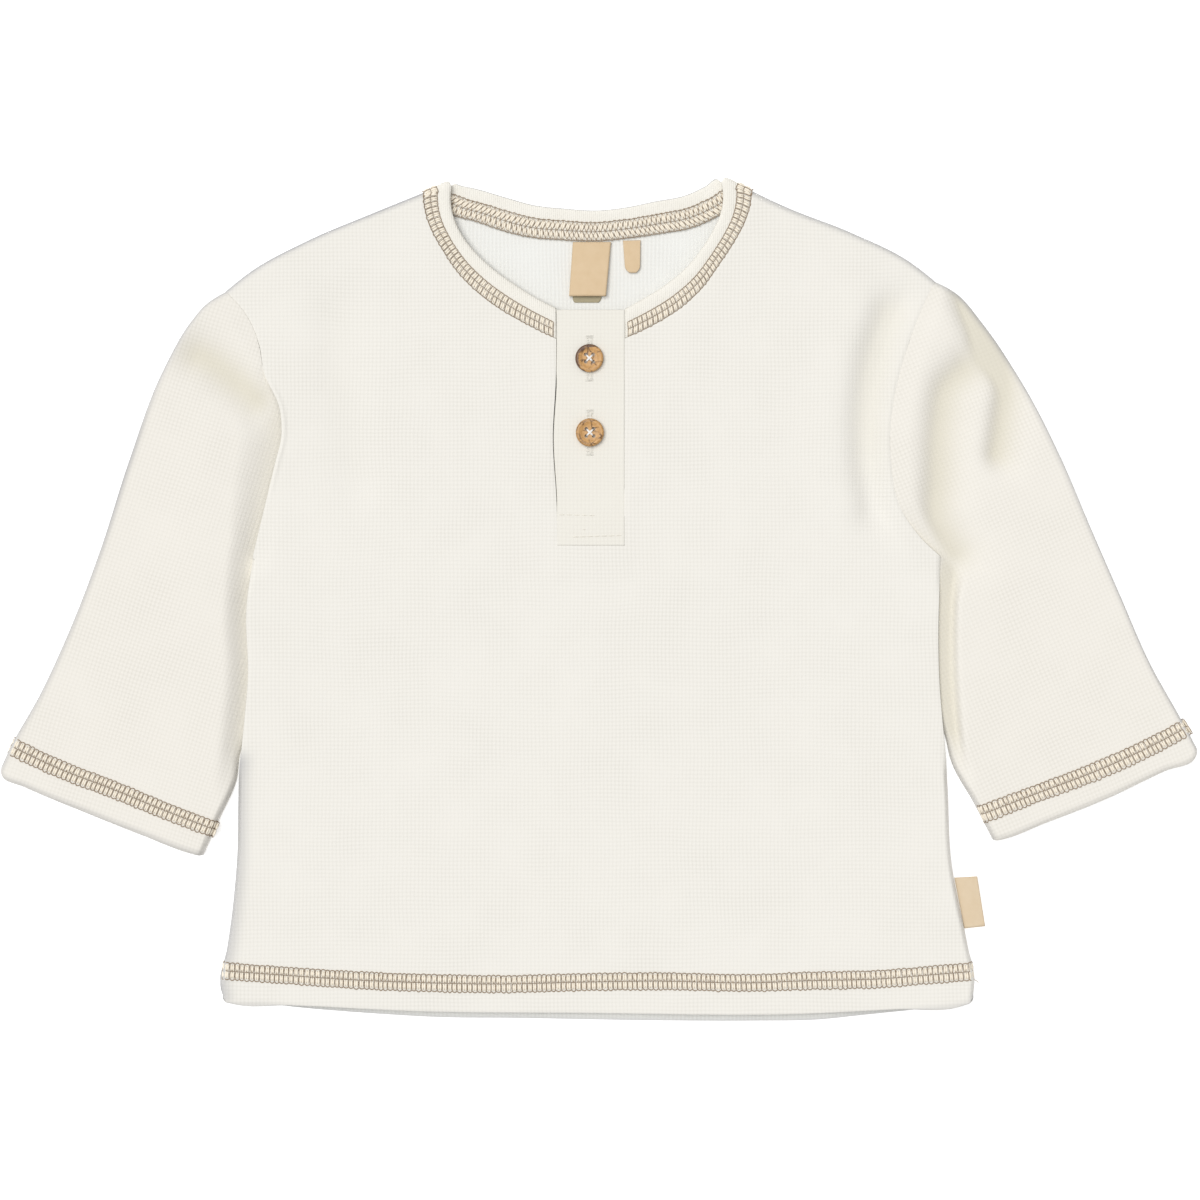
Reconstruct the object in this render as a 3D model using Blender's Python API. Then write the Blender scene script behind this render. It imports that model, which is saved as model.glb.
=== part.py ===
"""Baby's henley top of cream waffle knit, laid flat with its front up.

Lengths are in millimetres up to the last step, which builds in metres.
X runs to the right of the garment as it is seen, Y towards its neck, Z up.
The underside rests on Z = 0, and the top lies about the middle of X and Y.
"""
import bpy
import numpy as np

for old in list(bpy.data.objects):
    bpy.data.objects.remove(old, do_unlink=True)

METRE = 0.001

# Cloth
CLOTH = 1.2            # one layer of waffle knit
HEM_CLOTH = 1.8        # the same, turned up and stitched flat
HEM_DEPTH = 15.0       # from the edge of a hem or cuff to the top of its stitching
GAP = 0.3              # between two pieces that touch
BODY_RISE = 6.0        # top of the front panel over the floor
SLEEVE_RISE = 6.8      # top of a sleeve over the floor
EDGE_ROUND = 2.4       # how far from a folded edge the cloth turns down
LEAST_RISE = 2.0 * CLOTH + GAP

# Neck band and placket
BAND_THICK = 2.0
BAND_FRONT_MID = 4.8   # height of the band's middle on the front
BAND_BACK_MID = 1.0    # and on the back
SLIT_LEFT = -15.6
SLIT_RIGHT = 9.4
SLIT_FOOT = 20.4
PLACKET_TOP = 108.6
PLACKET_THICK = 1.5
PLACKET_RISE = 5.9
UNDER_THICK = 1.1

# Buttons
BUTTON_ACROSS = 10.5
BUTTON_THICK = 2.2
BUTTON_HOLE = 1.3
BUTTON_HOLES_OUT = 1.15
BUTTONS = (("button_upper", -3.6, 90.3), ("button_lower", -3.4, 62.5))

# Side edges of the body, hem to underarm. Columns: x, y.
SIDE_LEFT = ((-141.4, -148.7), (-141.4, -142.7), (-139.9, -131.4), (-136.1, -97.7),
             (-135.3, -68.0), (-133.4, -50.0), (-131.6, -28.0), (-132.2, -4.0), (-130.1, 14.8))
SIDE_RIGHT = ((140.6, -148.7), (141.0, -142.7), (138.6, -130.0), (132.4, -97.7),
              (130.9, -68.0), (129.4, -52.0), (127.6, -30.0), (127.3, -8.0), (127.8, 5.0), (128.6, 15.6))
# Armhole seams, underarm to shoulder. Columns: x, y.
ARM_LEFT = ((-130.1, 14.8), (-127.0, 27.5), (-121.5, 50.4), (-118.9, 61.7), (-119.6, 71.4),
            (-125.6, 85.3), (-127.5, 95.8), (-132.0, 106.3), (-140.2, 115.7))
ARM_RIGHT = ((128.6, 15.6), (120.0, 23.8), (112.5, 35.4), (109.5, 50.8), (109.1, 62.1),
             (110.8, 76.7), (116.2, 96.6), (120.4, 107.8), (126.0, 119.6))
# Shoulders, armhole to neck. Columns: x, y.
SHOULDER_LEFT = ((-140.2, 115.7), (-130.9, 123.0), (-108.4, 135.2), (-85.9, 144.7), (-66.0, 151.7))
SHOULDER_RIGHT = ((126.0, 119.6), (116.6, 126.8), (94.1, 138.0), (71.6, 146.8), (57.4, 152.4))
# Hems, left to right. Columns: x, y.
HEM_FRONT = ((-141.4, -148.7), (-140.2, -150.7), (-137.0, -151.6), (-115.9, -152.1),
             (-67.1, -154.3), (-9.0, -154.9), (75.4, -155.3), (110.6, -153.6),
             (136.5, -152.2), (139.4, -151.0), (140.6, -148.7))
HEM_BACK = ((-141.4, -148.7), (-140.2, -150.7), (-137.0, -151.6), (-126.0, -152.0), (-110.0, -153.6),
            (-85.9, -155.5), (-62.0, -156.9), (-30.0, -157.3), (15.4, -158.1), (60.0, -158.3),
            (82.0, -157.9), (99.8, -156.1), (120.0, -154.0), (136.5, -152.0), (139.4, -151.0),
            (140.6, -148.7))

# Neck band on the front, placket to shoulder. Columns: opening x, y, outer x, y.
NECK_LEFT = ((-16.0, 109.2, -16.0, 97.6), (-23.6, 113.1, -27.0, 103.0),
             (-31.9, 118.3, -36.2, 108.2), (-40.1, 124.3, -45.5, 115.0),
             (-46.1, 129.9, -53.0, 122.6), (-51.8, 137.4, -59.2, 131.8),
             (-54.6, 143.8, -63.7, 140.4), (-55.6, 149.3, -65.3, 145.9))
NECK_RIGHT = ((9.7, 109.0, 9.7, 97.8), (17.0, 113.0, 20.0, 102.6),
              (25.5, 118.4, 29.8, 108.6), (33.5, 125.3, 38.2, 116.1),
              (39.0, 132.3, 45.2, 125.6), (43.0, 139.0, 50.5, 133.6),
              (45.8, 145.7, 54.7, 141.4), (46.5, 151.0, 56.5, 146.8))
# Where it folds over each shoulder, the line of the fold and its way out.
# Columns: opening x, y, outer x, y, out x, y.
FOLD_LEFT = (-55.3, 153.5, -65.0, 149.4, -0.39, 0.92)
FOLD_RIGHT = (45.9, 155.1, 56.4, 150.2, 0.42, 0.91)
BACK_CORNERS = ((-65.3, 149.4), (56.7, 150.2))
# Neck band on the back, left to right. Columns: opening x, y, outer x, y.
NECK_BACK = ((-54.6, 154.7, -60.3, 147.6), (-51.8, 155.0, -54.8, 144.4),
             (-46.5, 153.9, -46.1, 142.0), (-35.2, 150.6, -37.5, 139.0),
             (-24.0, 147.6, -25.5, 136.0), (-12.8, 146.4, -13.5, 135.1),
             (-1.5, 145.7, -1.5, 134.6), (9.8, 146.8, 10.5, 135.7),
             (21.0, 149.1, 22.5, 137.4), (32.2, 151.3, 34.9, 139.7),
             (40.0, 154.8, 44.0, 143.6), (43.6, 156.6, 50.8, 147.4))

# Sleeves. Outer folded edge, shoulder to cuff. Columns: x, y.
OUTER_LEFT = ((-140.2, 115.7), (-147.8, 110.9), (-153.4, 104.4), (-164.6, 84.2), (-175.9, 52.7),
              (-187.1, 18.6), (-198.4, -10.7), (-209.6, -35.1), (-220.9, -55.3), (-224.2, -62.5))
OUTER_RIGHT = ((126.0, 119.6), (133.5, 115.6), (144.8, 102.9), (156.0, 86.4), (172.9, 53.8),
               (184.1, 27.9), (195.4, 2.1), (206.6, -23.4), (217.9, -43.7), (224.2, -55.3))
# Inner edge, underarm to cuff. It runs under the body down to the notch.
INNER_LEFT = ((-130.7, 14.8), (-131.7, 7.0), (-132.6, 1.5), (-130.4, -6.0), (-127.0, -14.0),
              (-126.4, -30.0), (-130.4, -46.0), (-134.9, -58.0), (-136.0, -67.0),
              (-142.6, -82.5), (-148.6, -95.9))
INNER_RIGHT = ((129.9, 15.7), (129.3, 9.0), (128.4, 2.0), (126.0, -6.0), (123.6, -14.0),
               (123.6, -30.0), (126.8, -42.0), (130.2, -52.0), (132.2, -60.5),
               (141.1, -77.0), (147.9, -90.2))
# Cuff edge, outer to inner.
CUFF_LEFT = ((-224.2, -62.5), (-223.5, -65.8), (-215.1, -69.9), (-192.7, -79.3), (-170.2, -88.3),
             (-153.0, -94.8), (-148.6, -95.9))
CUFF_RIGHT = ((224.2, -55.3), (223.2, -59.0), (211.9, -63.9), (189.4, -74.6), (166.9, -83.5),
              (150.9, -89.6), (147.9, -90.2))

# How high the body stands along each armhole seam. Columns: share of the seam from the underarm, height.
SEAM_LEFT = ((0.0, 5.2), (0.2, 5.7), (0.5, 6.2), (0.62, 6.2), (0.8, 5.8), (1.0, 5.7))
SEAM_RIGHT = ((0.0, 5.2), (0.2, 5.7), (0.5, 5.9), (1.0, 5.8))
# Each sleeve's trough along the body, from the notch to the shoulder.
# Columns: y on the body's edge, the sleeve's height there, how far it takes to rise.
TROUGH_LEFT = ((-78.0, 6.8, 9.0), (-66.0, 4.6, 9.0), (-56.0, 2.7, 9.0), (0.0, 2.7, 10.0), (20.0, 2.75, 11.5),
               (40.0, 2.8, 13.5), (70.0, 2.8, 14.5), (79.0, 4.2, 12.0), (88.0, 6.1, 9.0), (116.0, 6.0, 9.0))
TROUGH_RIGHT = ((-72.0, 6.8, 7.0), (-60.0, 4.6, 9.0), (-50.0, 2.7, 11.0), (0.0, 2.7, 12.0), (12.0, 2.8, 12.0),
                (22.0, 4.2, 10.0), (34.0, 5.7, 9.0), (60.0, 5.9, 9.0), (120.0, 5.8, 9.0))
TROUGH_FLAT = 3.0      # flat bottom of the trough beside the body's tucked side
# How far the body's side is lifted by the sleeve tucked under it. Columns: y, lift.
TUCK_LEFT = ((-74.0, 0.0), (-64.0, 2.3), (-58.0, 3.05), (0.0, 3.05), (3.0, 2.6), (14.0, 0.0))
TUCK_RIGHT = ((-68.0, 0.0), (-58.0, 2.4), (-52.0, 3.05), (0.0, 3.05), (3.0, 2.6), (14.0, 0.0))
TUCK_REACH = 12.0      # how far in from the side the whole lift goes
TUCK_FADE = 24.0       # and over how much more it fades

# Largest folds. Columns: height, half width towards -X, towards +X, then the x and y of the fold's line.
BODY_FOLDS = (
    (-0.8, 9.0, 11.0, (-98.0, 106.0), (-95.0, 72.0), (-90.0, 44.0)),
    (-1.2, 6.5, 10.0, (107.6, 106.3), (102.0, 89.1), (99.4, 71.4), (100.1, 49.7), (102.4, 35.1)),
    (0.5, 9.0, 5.5, (98.0, 108.0), (92.0, 90.0), (90.0, 71.0), (90.5, 50.0), (94.0, 35.0)),
    (-0.3, 13.0, 13.0, (-110.0, 40.0), (-76.0, 22.0)),
    (-0.3, 13.0, 13.0, (78.0, 36.0), (110.0, 2.0)),
)
LEFT_FOLDS = (
    (-3.4, 7.0, 7.0, (-152.0, 92.0), (-143.0, 87.0), (-134.0, 80.0), (-128.0, 71.0)),
    (0.3, 9.0, 9.0, (-146.0, 60.0), (-150.0, 20.0), (-152.0, -10.0)),
)
RIGHT_FOLDS = (
    (-3.5, 5.6, 15.0, (136.1, 86.1), (129.4, 78.6), (127.5, 68.1), (126.4, 46.3), (126.4, 29.8), (129.4, 23.1),
     (132.4, 17.8)),
    (-2.7, 5.0, 9.0, (135.5, 114.3), (141.8, 99.2), (148.5, 89.4), (152.6, 80.4), (151.9, 68.1), (150.0, 54.9)),
)

# Shares along the edges where the sheets have their rows and columns.
ARM_SHARES = (0.0, 0.03, 0.09, 0.17, 0.25, 0.33, 0.42, 0.51, 0.6, 0.68, 0.76, 0.84, 0.91, 0.97, 1.0)
SLIT_ROWS = 6
SIDE_SHARES = (0.0, 0.03, 0.055, 0.082, 0.09, 0.18, 0.3, 0.42, 0.5, 0.57, 0.68, 0.8, 0.88, 0.94, 1.0)
ACROSS_SHARES = (0.0, 0.007, 0.018, 0.04, 0.09, 0.16, 0.24, 0.33, 0.44, 0.56, 0.7, 0.85, 1.0)
SLEEVE_SHARES = (0.0, 0.03, 0.08, 0.15, 0.23, 0.32, 0.41, 0.5, 0.59, 0.68, 0.77, 0.85, 0.905, 0.92, 1.0)
INNER_LAG = 2.0        # the sections turn about the underarm before they move down
STRAIGHT_BY = 0.45     # share of the sleeve by which its sections are as straight as the cuff


def smooth(rows, shares):
    """Points at these shares of the length of a soft curve through the rows."""
    rows = np.array(rows, float)
    steps = np.linalg.norm(np.diff(rows, axis=0), axis=1)
    along = np.concatenate([[0.0], np.cumsum(steps)])
    slopes = np.diff(rows, axis=0) / steps[:, None]
    ways = np.empty_like(rows)
    inner = steps[:-1, None] + steps[1:, None]
    ways[1:-1] = (slopes[:-1] * steps[1:, None] + slopes[1:] * steps[:-1, None]) / inner
    ways[0] = 1.5 * slopes[0] - 0.5 * ways[1]
    ways[-1] = 1.5 * slopes[-1] - 0.5 * ways[-2]
    at = np.clip(np.asarray(shares, float), 0.0, 1.0) * along[-1]
    part = np.clip(np.searchsorted(along, at, side="right") - 1, 0, len(steps) - 1)
    long = steps[part][:, None]
    t = (at - along[part])[:, None] / long
    return ((1 + 2 * t) * (1 - t) ** 2 * rows[part] + t * (1 - t) ** 2 * long * ways[part]
            + t * t * (3 - 2 * t) * rows[part + 1] + t * t * (t - 1) * long * ways[part + 1])


def table(rows, at, column=1):
    """Values of one column of a table at these values of its first."""
    rows = np.array(rows, float)
    return np.interp(at, rows[:, 0], rows[:, column])


def ease(t):
    t = np.clip(t, 0.0, 1.0)
    return t * t * (3.0 - 2.0 * t)


def roll(distance, reach):
    """0 at a folded edge, 1 from reach on, round like the cloth's turn."""
    t = np.clip(distance / reach, 0.0, 1.0)
    return np.sqrt(1.0 - (1.0 - t) ** 2)


def away(points, line):
    """Distance of each point from a line, and the share of the line nearest to it."""
    line = np.array(line, float)
    steps = np.diff(line, axis=0)
    long = np.linalg.norm(steps, axis=1)
    begun = np.concatenate([[0.0], np.cumsum(long)])
    best = np.full(len(points), 1e9)
    share = np.zeros(len(points))
    for i, step in enumerate(steps):
        t = np.clip(((points - line[i]) @ step) / long[i] ** 2, 0.0, 1.0)
        far = np.linalg.norm(points - line[i] - t[:, None] * step, axis=1)
        nearer = far < best
        best[nearer] = far[nearer]
        share[nearer] = ((begun[i] + t * long[i]) / begun[-1])[nearer]
    return best, share


def folds(points, rows):
    """Height added by soft folds, which may be steeper on one side than on the other."""
    total = np.zeros(len(points))
    for height, west, east, *line in rows:
        soft = smooth(line, np.linspace(0, 1, 24)) if len(line) > 2 else np.array(line)
        far, share = away(points, soft)
        lean = (points[:, 0] - np.interp(share, np.linspace(0, 1, len(soft)), soft[:, 0])) / (far + 1e-6)
        wide = (west + east) / 2 + (east - west) / 2 * np.clip(lean, -1.0, 1.0)
        total += height * np.exp(-(far / wide) ** 2)
    return total


def grid(foot, head, left, right):
    """Points between four edges. foot and head run left to right, the others foot to head."""
    u = shares_of(foot, head)
    v = shares_of(left, right)
    u = u[None, :, None]
    v = v[:, None, None]
    corners = ((1 - u) * (1 - v) * foot[0] + u * (1 - v) * foot[-1]
               + (1 - u) * v * head[0] + u * v * head[-1])
    return (1 - v) * foot + v * head + (1 - u) * left[:, None] + u * right[:, None] - corners


def shares_of(one, other):
    """Mean share of length reached at each point of two edges."""
    found = []
    for edge in (one, other):
        steps = np.linalg.norm(np.diff(edge, axis=0), axis=1)
        found.append(np.concatenate([[0.0], np.cumsum(steps)]) / steps.sum())
    return (found[0] + found[1]) / 2


def moved(line, distance):
    """The line moved to its right-hand side by a distance."""
    ways = np.diff(line, axis=0)
    ways /= np.linalg.norm(ways, axis=1)[:, None]
    sides = np.column_stack([ways[:, 1], -ways[:, 0]])
    before = np.vstack([sides[:1], sides])
    after = np.vstack([sides, sides[-1:]])
    square = 1.0 + (before * after).sum(axis=1)[:, None]
    return line + distance * (before + after) / square


def fitted(line, start, end):
    """The line turned and sized so that it runs from start to end."""
    span = line[-1] - line[0]
    wanted = end - start
    size = (span @ span)
    cosine = (span @ wanted) / size
    sine = (span[0] * wanted[1] - span[1] * wanted[0]) / size
    local = line - line[0]
    turned = np.column_stack([cosine * local[:, 0] - sine * local[:, 1],
                              sine * local[:, 0] + cosine * local[:, 1]])
    return start + turned


def sheet_of(grids):
    """One list of points and one of four-cornered faces from grids that share edges."""
    points, faces, known = [], [], {}
    for cells in grids:
        rows, columns = cells.shape[:2]
        names = np.empty((rows, columns), int)
        for i in range(rows):
            for j in range(columns):
                key = tuple(np.round(cells[i, j], 4))
                if key not in known:
                    known[key] = len(points)
                    points.append(cells[i, j])
                names[i, j] = known[key]
        for i in range(rows - 1):
            for j in range(columns - 1):
                faces.append((names[i, j], names[i, j + 1], names[i + 1, j + 1], names[i + 1, j]))
    return np.array(points), faces


def material(name, colour, roughness):
    made = bpy.data.materials.new(name)
    made.use_nodes = True
    shader = made.node_tree.nodes["Principled BSDF"]
    shader.inputs["Base Color"].default_value = (*colour, 1.0)
    shader.inputs["Roughness"].default_value = roughness
    shader.inputs["Metallic"].default_value = 0.0
    return made


def solid(name, points, faces, slot, smooth_faces=True):
    mesh = bpy.data.meshes.new(name)
    mesh.from_pydata([tuple(float(c) * METRE for c in point) for point in points], [], faces)
    mesh.update()
    mesh.materials.append(slot)
    if smooth_faces:
        for polygon in mesh.polygons:
            polygon.use_smooth = True
    made = bpy.data.objects.new(name, mesh)
    bpy.context.scene.collection.objects.link(made)
    return made


def wall(name, flat, faces, over, under, slot):
    """A closed sheet of cloth between two heights over the same flat points."""
    count = len(flat)
    points = np.vstack([np.column_stack([flat, over]), np.column_stack([flat, under])])
    used = {}
    for face in faces:
        for a, b in zip(face, face[1:] + face[:1]):
            used[(a, b)] = True
    closed = list(faces)
    closed += [tuple(count + corner for corner in reversed(face)) for face in faces]
    for a, b in used:
        if (b, a) not in used:
            closed.append((b, a, count + a, count + b))
    return solid(name, points, closed, slot)


def loft(name, rings, slot):
    """A closed body through rings of the same number of points, with flat ends."""
    count = len(rings[0])
    faces = []
    for i in range(len(rings) - 1):
        for j in range(count):
            k = (j + 1) % count
            faces.append((i * count + j, (i + 1) * count + j, (i + 1) * count + k, i * count + k))
    faces.append(tuple(range(count)))
    last = (len(rings) - 1) * count
    faces.append(tuple(last + j for j in reversed(range(count))))
    return solid(name, np.vstack(rings), faces, slot)


knit = material("cream_waffle_knit", (0.86, 0.83, 0.76), 0.9)
band_knit = material("cream_band_knit", (0.84, 0.80, 0.72), 0.9)
wood = material("pale_horn_wood", (0.50, 0.27, 0.10), 0.45)
tape = material("tan_label_tape", (0.72, 0.56, 0.34), 0.7)

# Edges that several pieces share, each with the same points.
arm_left = smooth(ARM_LEFT, ARM_SHARES)
arm_right = smooth(ARM_RIGHT, ARM_SHARES)
side_left = smooth(SIDE_LEFT, SIDE_SHARES)
side_right = smooth(SIDE_RIGHT, SIDE_SHARES)
neck_rows = len(ARM_SHARES) - SLIT_ROWS
neck_shares = np.linspace(0, 1, neck_rows)


def neck_edge(rows, end, which):
    """The neck band's opening (0) or outer (1) edge on the front, up to the shoulder."""
    line = [row[2 * which:2 * which + 2] for row in rows] + [end]
    return smooth(line, neck_shares)


neck_out_left = neck_edge(NECK_LEFT, SHOULDER_LEFT[-1], 1)
neck_out_right = neck_edge(NECK_RIGHT, SHOULDER_RIGHT[-1], 1)
back_out = [BACK_CORNERS[0]] + [row[2:] for row in NECK_BACK] + [BACK_CORNERS[1]]
back_shares = np.linspace(0, 1, 15)
neck_out_back = smooth(back_out, back_shares)


def side_lift(points):
    """How far the body is lifted near its sides by the tucked sleeves."""
    total = np.zeros(len(points))
    for side, rows in ((side_left, TUCK_LEFT), (side_right, TUCK_RIGHT)):
        far = away(points, side)[0]
        total += table(rows, points[:, 1]) * (1 - ease((far - TUCK_REACH) / TUCK_FADE))
    return total


def hem_share(points, hem):
    """1 in the turned-up hem, 0 above it."""
    return 1 - ease(away(points, hem)[0] - HEM_DEPTH)


hem_front = smooth(HEM_FRONT, np.linspace(0, 1, 60))
hem_back = smooth(HEM_BACK, np.linspace(0, 1, 60))


def back_top(points):
    return side_lift(points) + CLOTH + (HEM_CLOTH - CLOTH) * hem_share(points, hem_back)


def front_heights(points):
    """Top and underside of the front panel over these points."""
    thick = CLOTH + (HEM_CLOTH - CLOTH) * hem_share(points, hem_front)
    floor = back_top(points) + GAP
    plain = np.maximum(BODY_RISE + folds(points, BODY_FOLDS), floor + thick + 0.05)
    top = plain
    for seam, rows in ((arm_left, SEAM_LEFT), (arm_right, SEAM_RIGHT)):
        far, share = away(points, seam)
        at_seam = np.maximum(table(rows, share), floor + thick)
        top = at_seam + (top - at_seam) * ease(far / 9.0)
    turned = [away(points, edge)[0] for edge in (side_left, side_right, shoulder_left, shoulder_right)]
    low = floor + thick
    top = low + (top - low) * roll(np.min(turned, axis=0), EDGE_ROUND)
    return top, top - thick


# Columns of the front, from each side to the slit, and the shoulders above them.
shoulder_left = smooth(SHOULDER_LEFT, ACROSS_SHARES)
shoulder_right = smooth(SHOULDER_RIGHT, ACROSS_SHARES)
across = np.array(ACROSS_SHARES)[:, None]
foot_left = np.array([SLIT_LEFT, SLIT_FOOT])
foot_right = np.array([SLIT_RIGHT, SLIT_FOOT])
level_left = (1 - across) * arm_left[0] + across * foot_left
level_right = (1 - across) * arm_right[0] + across * foot_right
slit_rows = np.linspace(0, 1, SLIT_ROWS + 1)[:, None]
slit_left = np.vstack([foot_left + slit_rows * (neck_out_left[0] - foot_left), neck_out_left[1:]])
slit_right = np.vstack([foot_right + slit_rows * (neck_out_right[0] - foot_right), neck_out_right[1:]])
between = foot_left + np.array([[0.33], [0.67]]) * (foot_right - foot_left)
level = np.vstack([level_left, between, level_right[::-1]])
hem_shares = (level[:, 0] - level[0, 0]) / (level[-1, 0] - level[0, 0])
lower = grid(smooth(HEM_FRONT, hem_shares), level, side_left, side_right)
upper_left = grid(level_left, shoulder_left, arm_left, slit_left)
upper_right = grid(level_right[::-1], shoulder_right[::-1], slit_right, arm_right)
flat, faces = sheet_of((lower, upper_left, upper_right))
over, under = front_heights(flat)
wall("front_panel", flat, faces, over, under, knit)

# Back, one grid from hem to shoulders and neck.
shoulder_shares = (0.0, 0.02, 0.06, 0.2, 0.38, 0.58, 0.8)
head = np.vstack([smooth(SHOULDER_LEFT, shoulder_shares), neck_out_back,
                  smooth(SHOULDER_RIGHT, shoulder_shares)[::-1]])
head_shares = (head[:, 0] - head[0, 0]) / (head[-1, 0] - head[0, 0])
back = grid(smooth(HEM_BACK, head_shares), head,
            np.vstack([side_left, arm_left[1:]]), np.vstack([side_right, arm_right[1:]]))
flat, faces = sheet_of((back,))
lifted = side_lift(flat)
wall("back_panel", flat, faces, back_top(flat), lifted, knit)


def trough(points, side, arm, rows, inward):
    """Height of the trough beside the body, and the share of the rise out of it, over these points."""
    edge = np.vstack([side, arm[1:]])
    steps = np.linalg.norm(np.diff(edge, axis=0), axis=1)
    along = np.concatenate([[0.0], np.cumsum(steps)]) / steps.sum()
    far, share = away(points, edge)
    level = np.interp(share, along, edge[:, 1])
    across_edge = inward * (points[:, 0] - np.interp(points[:, 1], edge[:, 1], edge[:, 0]))
    under_body = (points[:, 1] < arm[0, 1]) & (across_edge > 0)
    far = np.where(under_body, 0.0, np.maximum(far - TROUGH_FLAT * ease((20.0 - level) / 10.0), 0.0))
    return table(rows, level), ease(far / table(rows, level, 2))


def sleeve(name, side, arm, outer, inner, cuff, trough_rows, fold_rows, outward):
    """A flattened tube with its two ends open, from the armhole to the cuff."""
    shares = 1 - np.array(ARM_SHARES)[::-1]
    seam = moved(arm[::-1], outward * GAP)
    end = smooth(cuff, shares)
    inner_shares = np.array(SLEEVE_SHARES) ** INNER_LAG
    plan = []
    for share, a, b in zip(SLEEVE_SHARES, smooth(outer, SLEEVE_SHARES), smooth(inner, inner_shares)):
        blend = ease(share / STRAIGHT_BY)
        plan.append((1 - blend) * fitted(seam, a, b) + blend * fitted(end, a, b))
    plan[0] = seam
    cuff_line = smooth(cuff, np.linspace(0, 1, 40))
    rings = []
    for row, line in enumerate(plan):
        steps = np.linalg.norm(np.diff(line, axis=0), axis=1)
        along = np.concatenate([[0.0], np.cumsum(steps)])
        turned = 1 - ease(away(line, cuff_line)[0] - HEM_DEPTH)
        thick = CLOTH + (HEM_CLOTH - CLOTH) * turned
        rise = np.maximum(SLEEVE_RISE + folds(line, fold_rows), LEAST_RISE + 0.05)
        bottom, share = trough(line, side, arm, trough_rows, outward)
        rise = bottom + (rise - bottom) * share
        rise = np.maximum(rise, 2 * thick + GAP)
        inset = CLOTH + along * (along[-1] - 2 * CLOTH) / along[-1]
        inner_line = np.column_stack([np.interp(inset, along, line[:, axis]) for axis in (0, 1)])
        inner_rise = np.interp(inset, along, rise)
        inner_thick = np.interp(inset, along, thick)
        edge = np.minimum(along, along[-1] - along)
        inner_edge = np.minimum(inset, along[-1] - inset) - CLOTH
        middle = LEAST_RISE / 2
        turn = roll(edge, EDGE_ROUND)
        top = np.column_stack([line, middle + (rise - middle) * turn])
        low = np.column_stack([line, middle - middle * turn])
        turn = roll(inner_edge, EDGE_ROUND - CLOTH)
        half = inner_rise / 2
        inner_top = np.column_stack([inner_line, half + (half - inner_thick) * turn])
        inner_low = np.column_stack([inner_line, half - (half - inner_thick) * turn])
        rings.append((np.vstack([top, low[-2:0:-1]]), np.vstack([inner_top, inner_low[-2:0:-1]])))
    count = len(rings[0][0])
    points = np.vstack([ring for pair in rings for ring in pair])
    faces = []
    for i in range(len(rings) - 1):
        here, there = 2 * i * count, 2 * (i + 1) * count
        for j in range(count):
            k = (j + 1) % count
            faces.append((here + j, here + k, there + k, there + j))
            faces.append((here + count + j, there + count + j, there + count + k, here + count + k))
    last = 2 * (len(rings) - 1) * count
    for j in range(count):
        k = (j + 1) % count
        faces.append((j, count + j, count + k, k))
        faces.append((last + j, last + k, last + count + k, last + count + j))
    if outward > 0:
        faces = [tuple(reversed(face)) for face in faces]
    return solid(name, points, faces, knit)


sleeve("sleeve_left", side_left, arm_left, OUTER_LEFT, INNER_LEFT, CUFF_LEFT, TROUGH_LEFT, LEFT_FOLDS, 1)
sleeve("sleeve_right", side_right, arm_right, OUTER_RIGHT, INNER_RIGHT, CUFF_RIGHT, TROUGH_RIGHT,
       RIGHT_FOLDS, -1)

# Neck band: sections from its opening edge out to its stitched edge.
BAND_SECTION = ((0.0, 0.0), (0.07, 0.8), (0.2, 1.0), (1.0, 1.0), (1.0, -1.0), (0.2, -1.0), (0.07, -0.8))


def band_ring(opening, outer, height, out=(0.0, 0.0), turn=0.0):
    """One section of the band. turn is its angle round a shoulder, 0 on the front."""
    opening, outer, out = (np.array(p, float) for p in (opening, outer, out))
    bend = (BAND_FRONT_MID - BAND_BACK_MID) / 2
    normal = np.append(out * np.sin(turn), np.cos(turn))
    ring = []
    for share, side in BAND_SECTION:
        flat_point = opening + share * (outer - opening) + out * bend * np.sin(turn)
        ring.append(np.append(flat_point, height) + normal * side * BAND_THICK / 2)
    return np.array(ring)


rings = []
opening_left = smooth([row[:2] for row in NECK_LEFT] + [FOLD_LEFT[:2]], neck_shares)
outer_left = moved(neck_out_left, GAP)
opening_right = smooth([row[:2] for row in NECK_RIGHT] + [FOLD_RIGHT[:2]], neck_shares)
outer_right = moved(neck_out_right, -GAP)
middle_height = (BAND_FRONT_MID + BAND_BACK_MID) / 2
bend = (BAND_FRONT_MID - BAND_BACK_MID) / 2
turns = np.radians([0, 36, 72, 108, 144, 180])
for a, b in zip(opening_left[:-1], outer_left[:-1]):
    rings.append(band_ring(a, b, BAND_FRONT_MID))
for turn in turns:
    rings.append(band_ring(FOLD_LEFT[:2], FOLD_LEFT[2:4], middle_height + bend * np.cos(turn),
                           FOLD_LEFT[4:], turn))
opening_back = smooth([FOLD_LEFT[:2]] + [row[:2] for row in NECK_BACK] + [FOLD_RIGHT[:2]], back_shares)
outer_back = moved(neck_out_back, -GAP)
for a, b in zip(opening_back[1:-1], outer_back[1:-1]):
    rings.append(band_ring(a, b, BAND_BACK_MID, turn=np.pi))
for turn in turns[::-1]:
    rings.append(band_ring(FOLD_RIGHT[:2], FOLD_RIGHT[2:4], middle_height + bend * np.cos(turn),
                           FOLD_RIGHT[4:], turn))
for a, b in zip(opening_right[-2::-1], outer_right[-2::-1]):
    rings.append(band_ring(a, b, BAND_FRONT_MID))
loft("neck_band", rings, band_knit)


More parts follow.
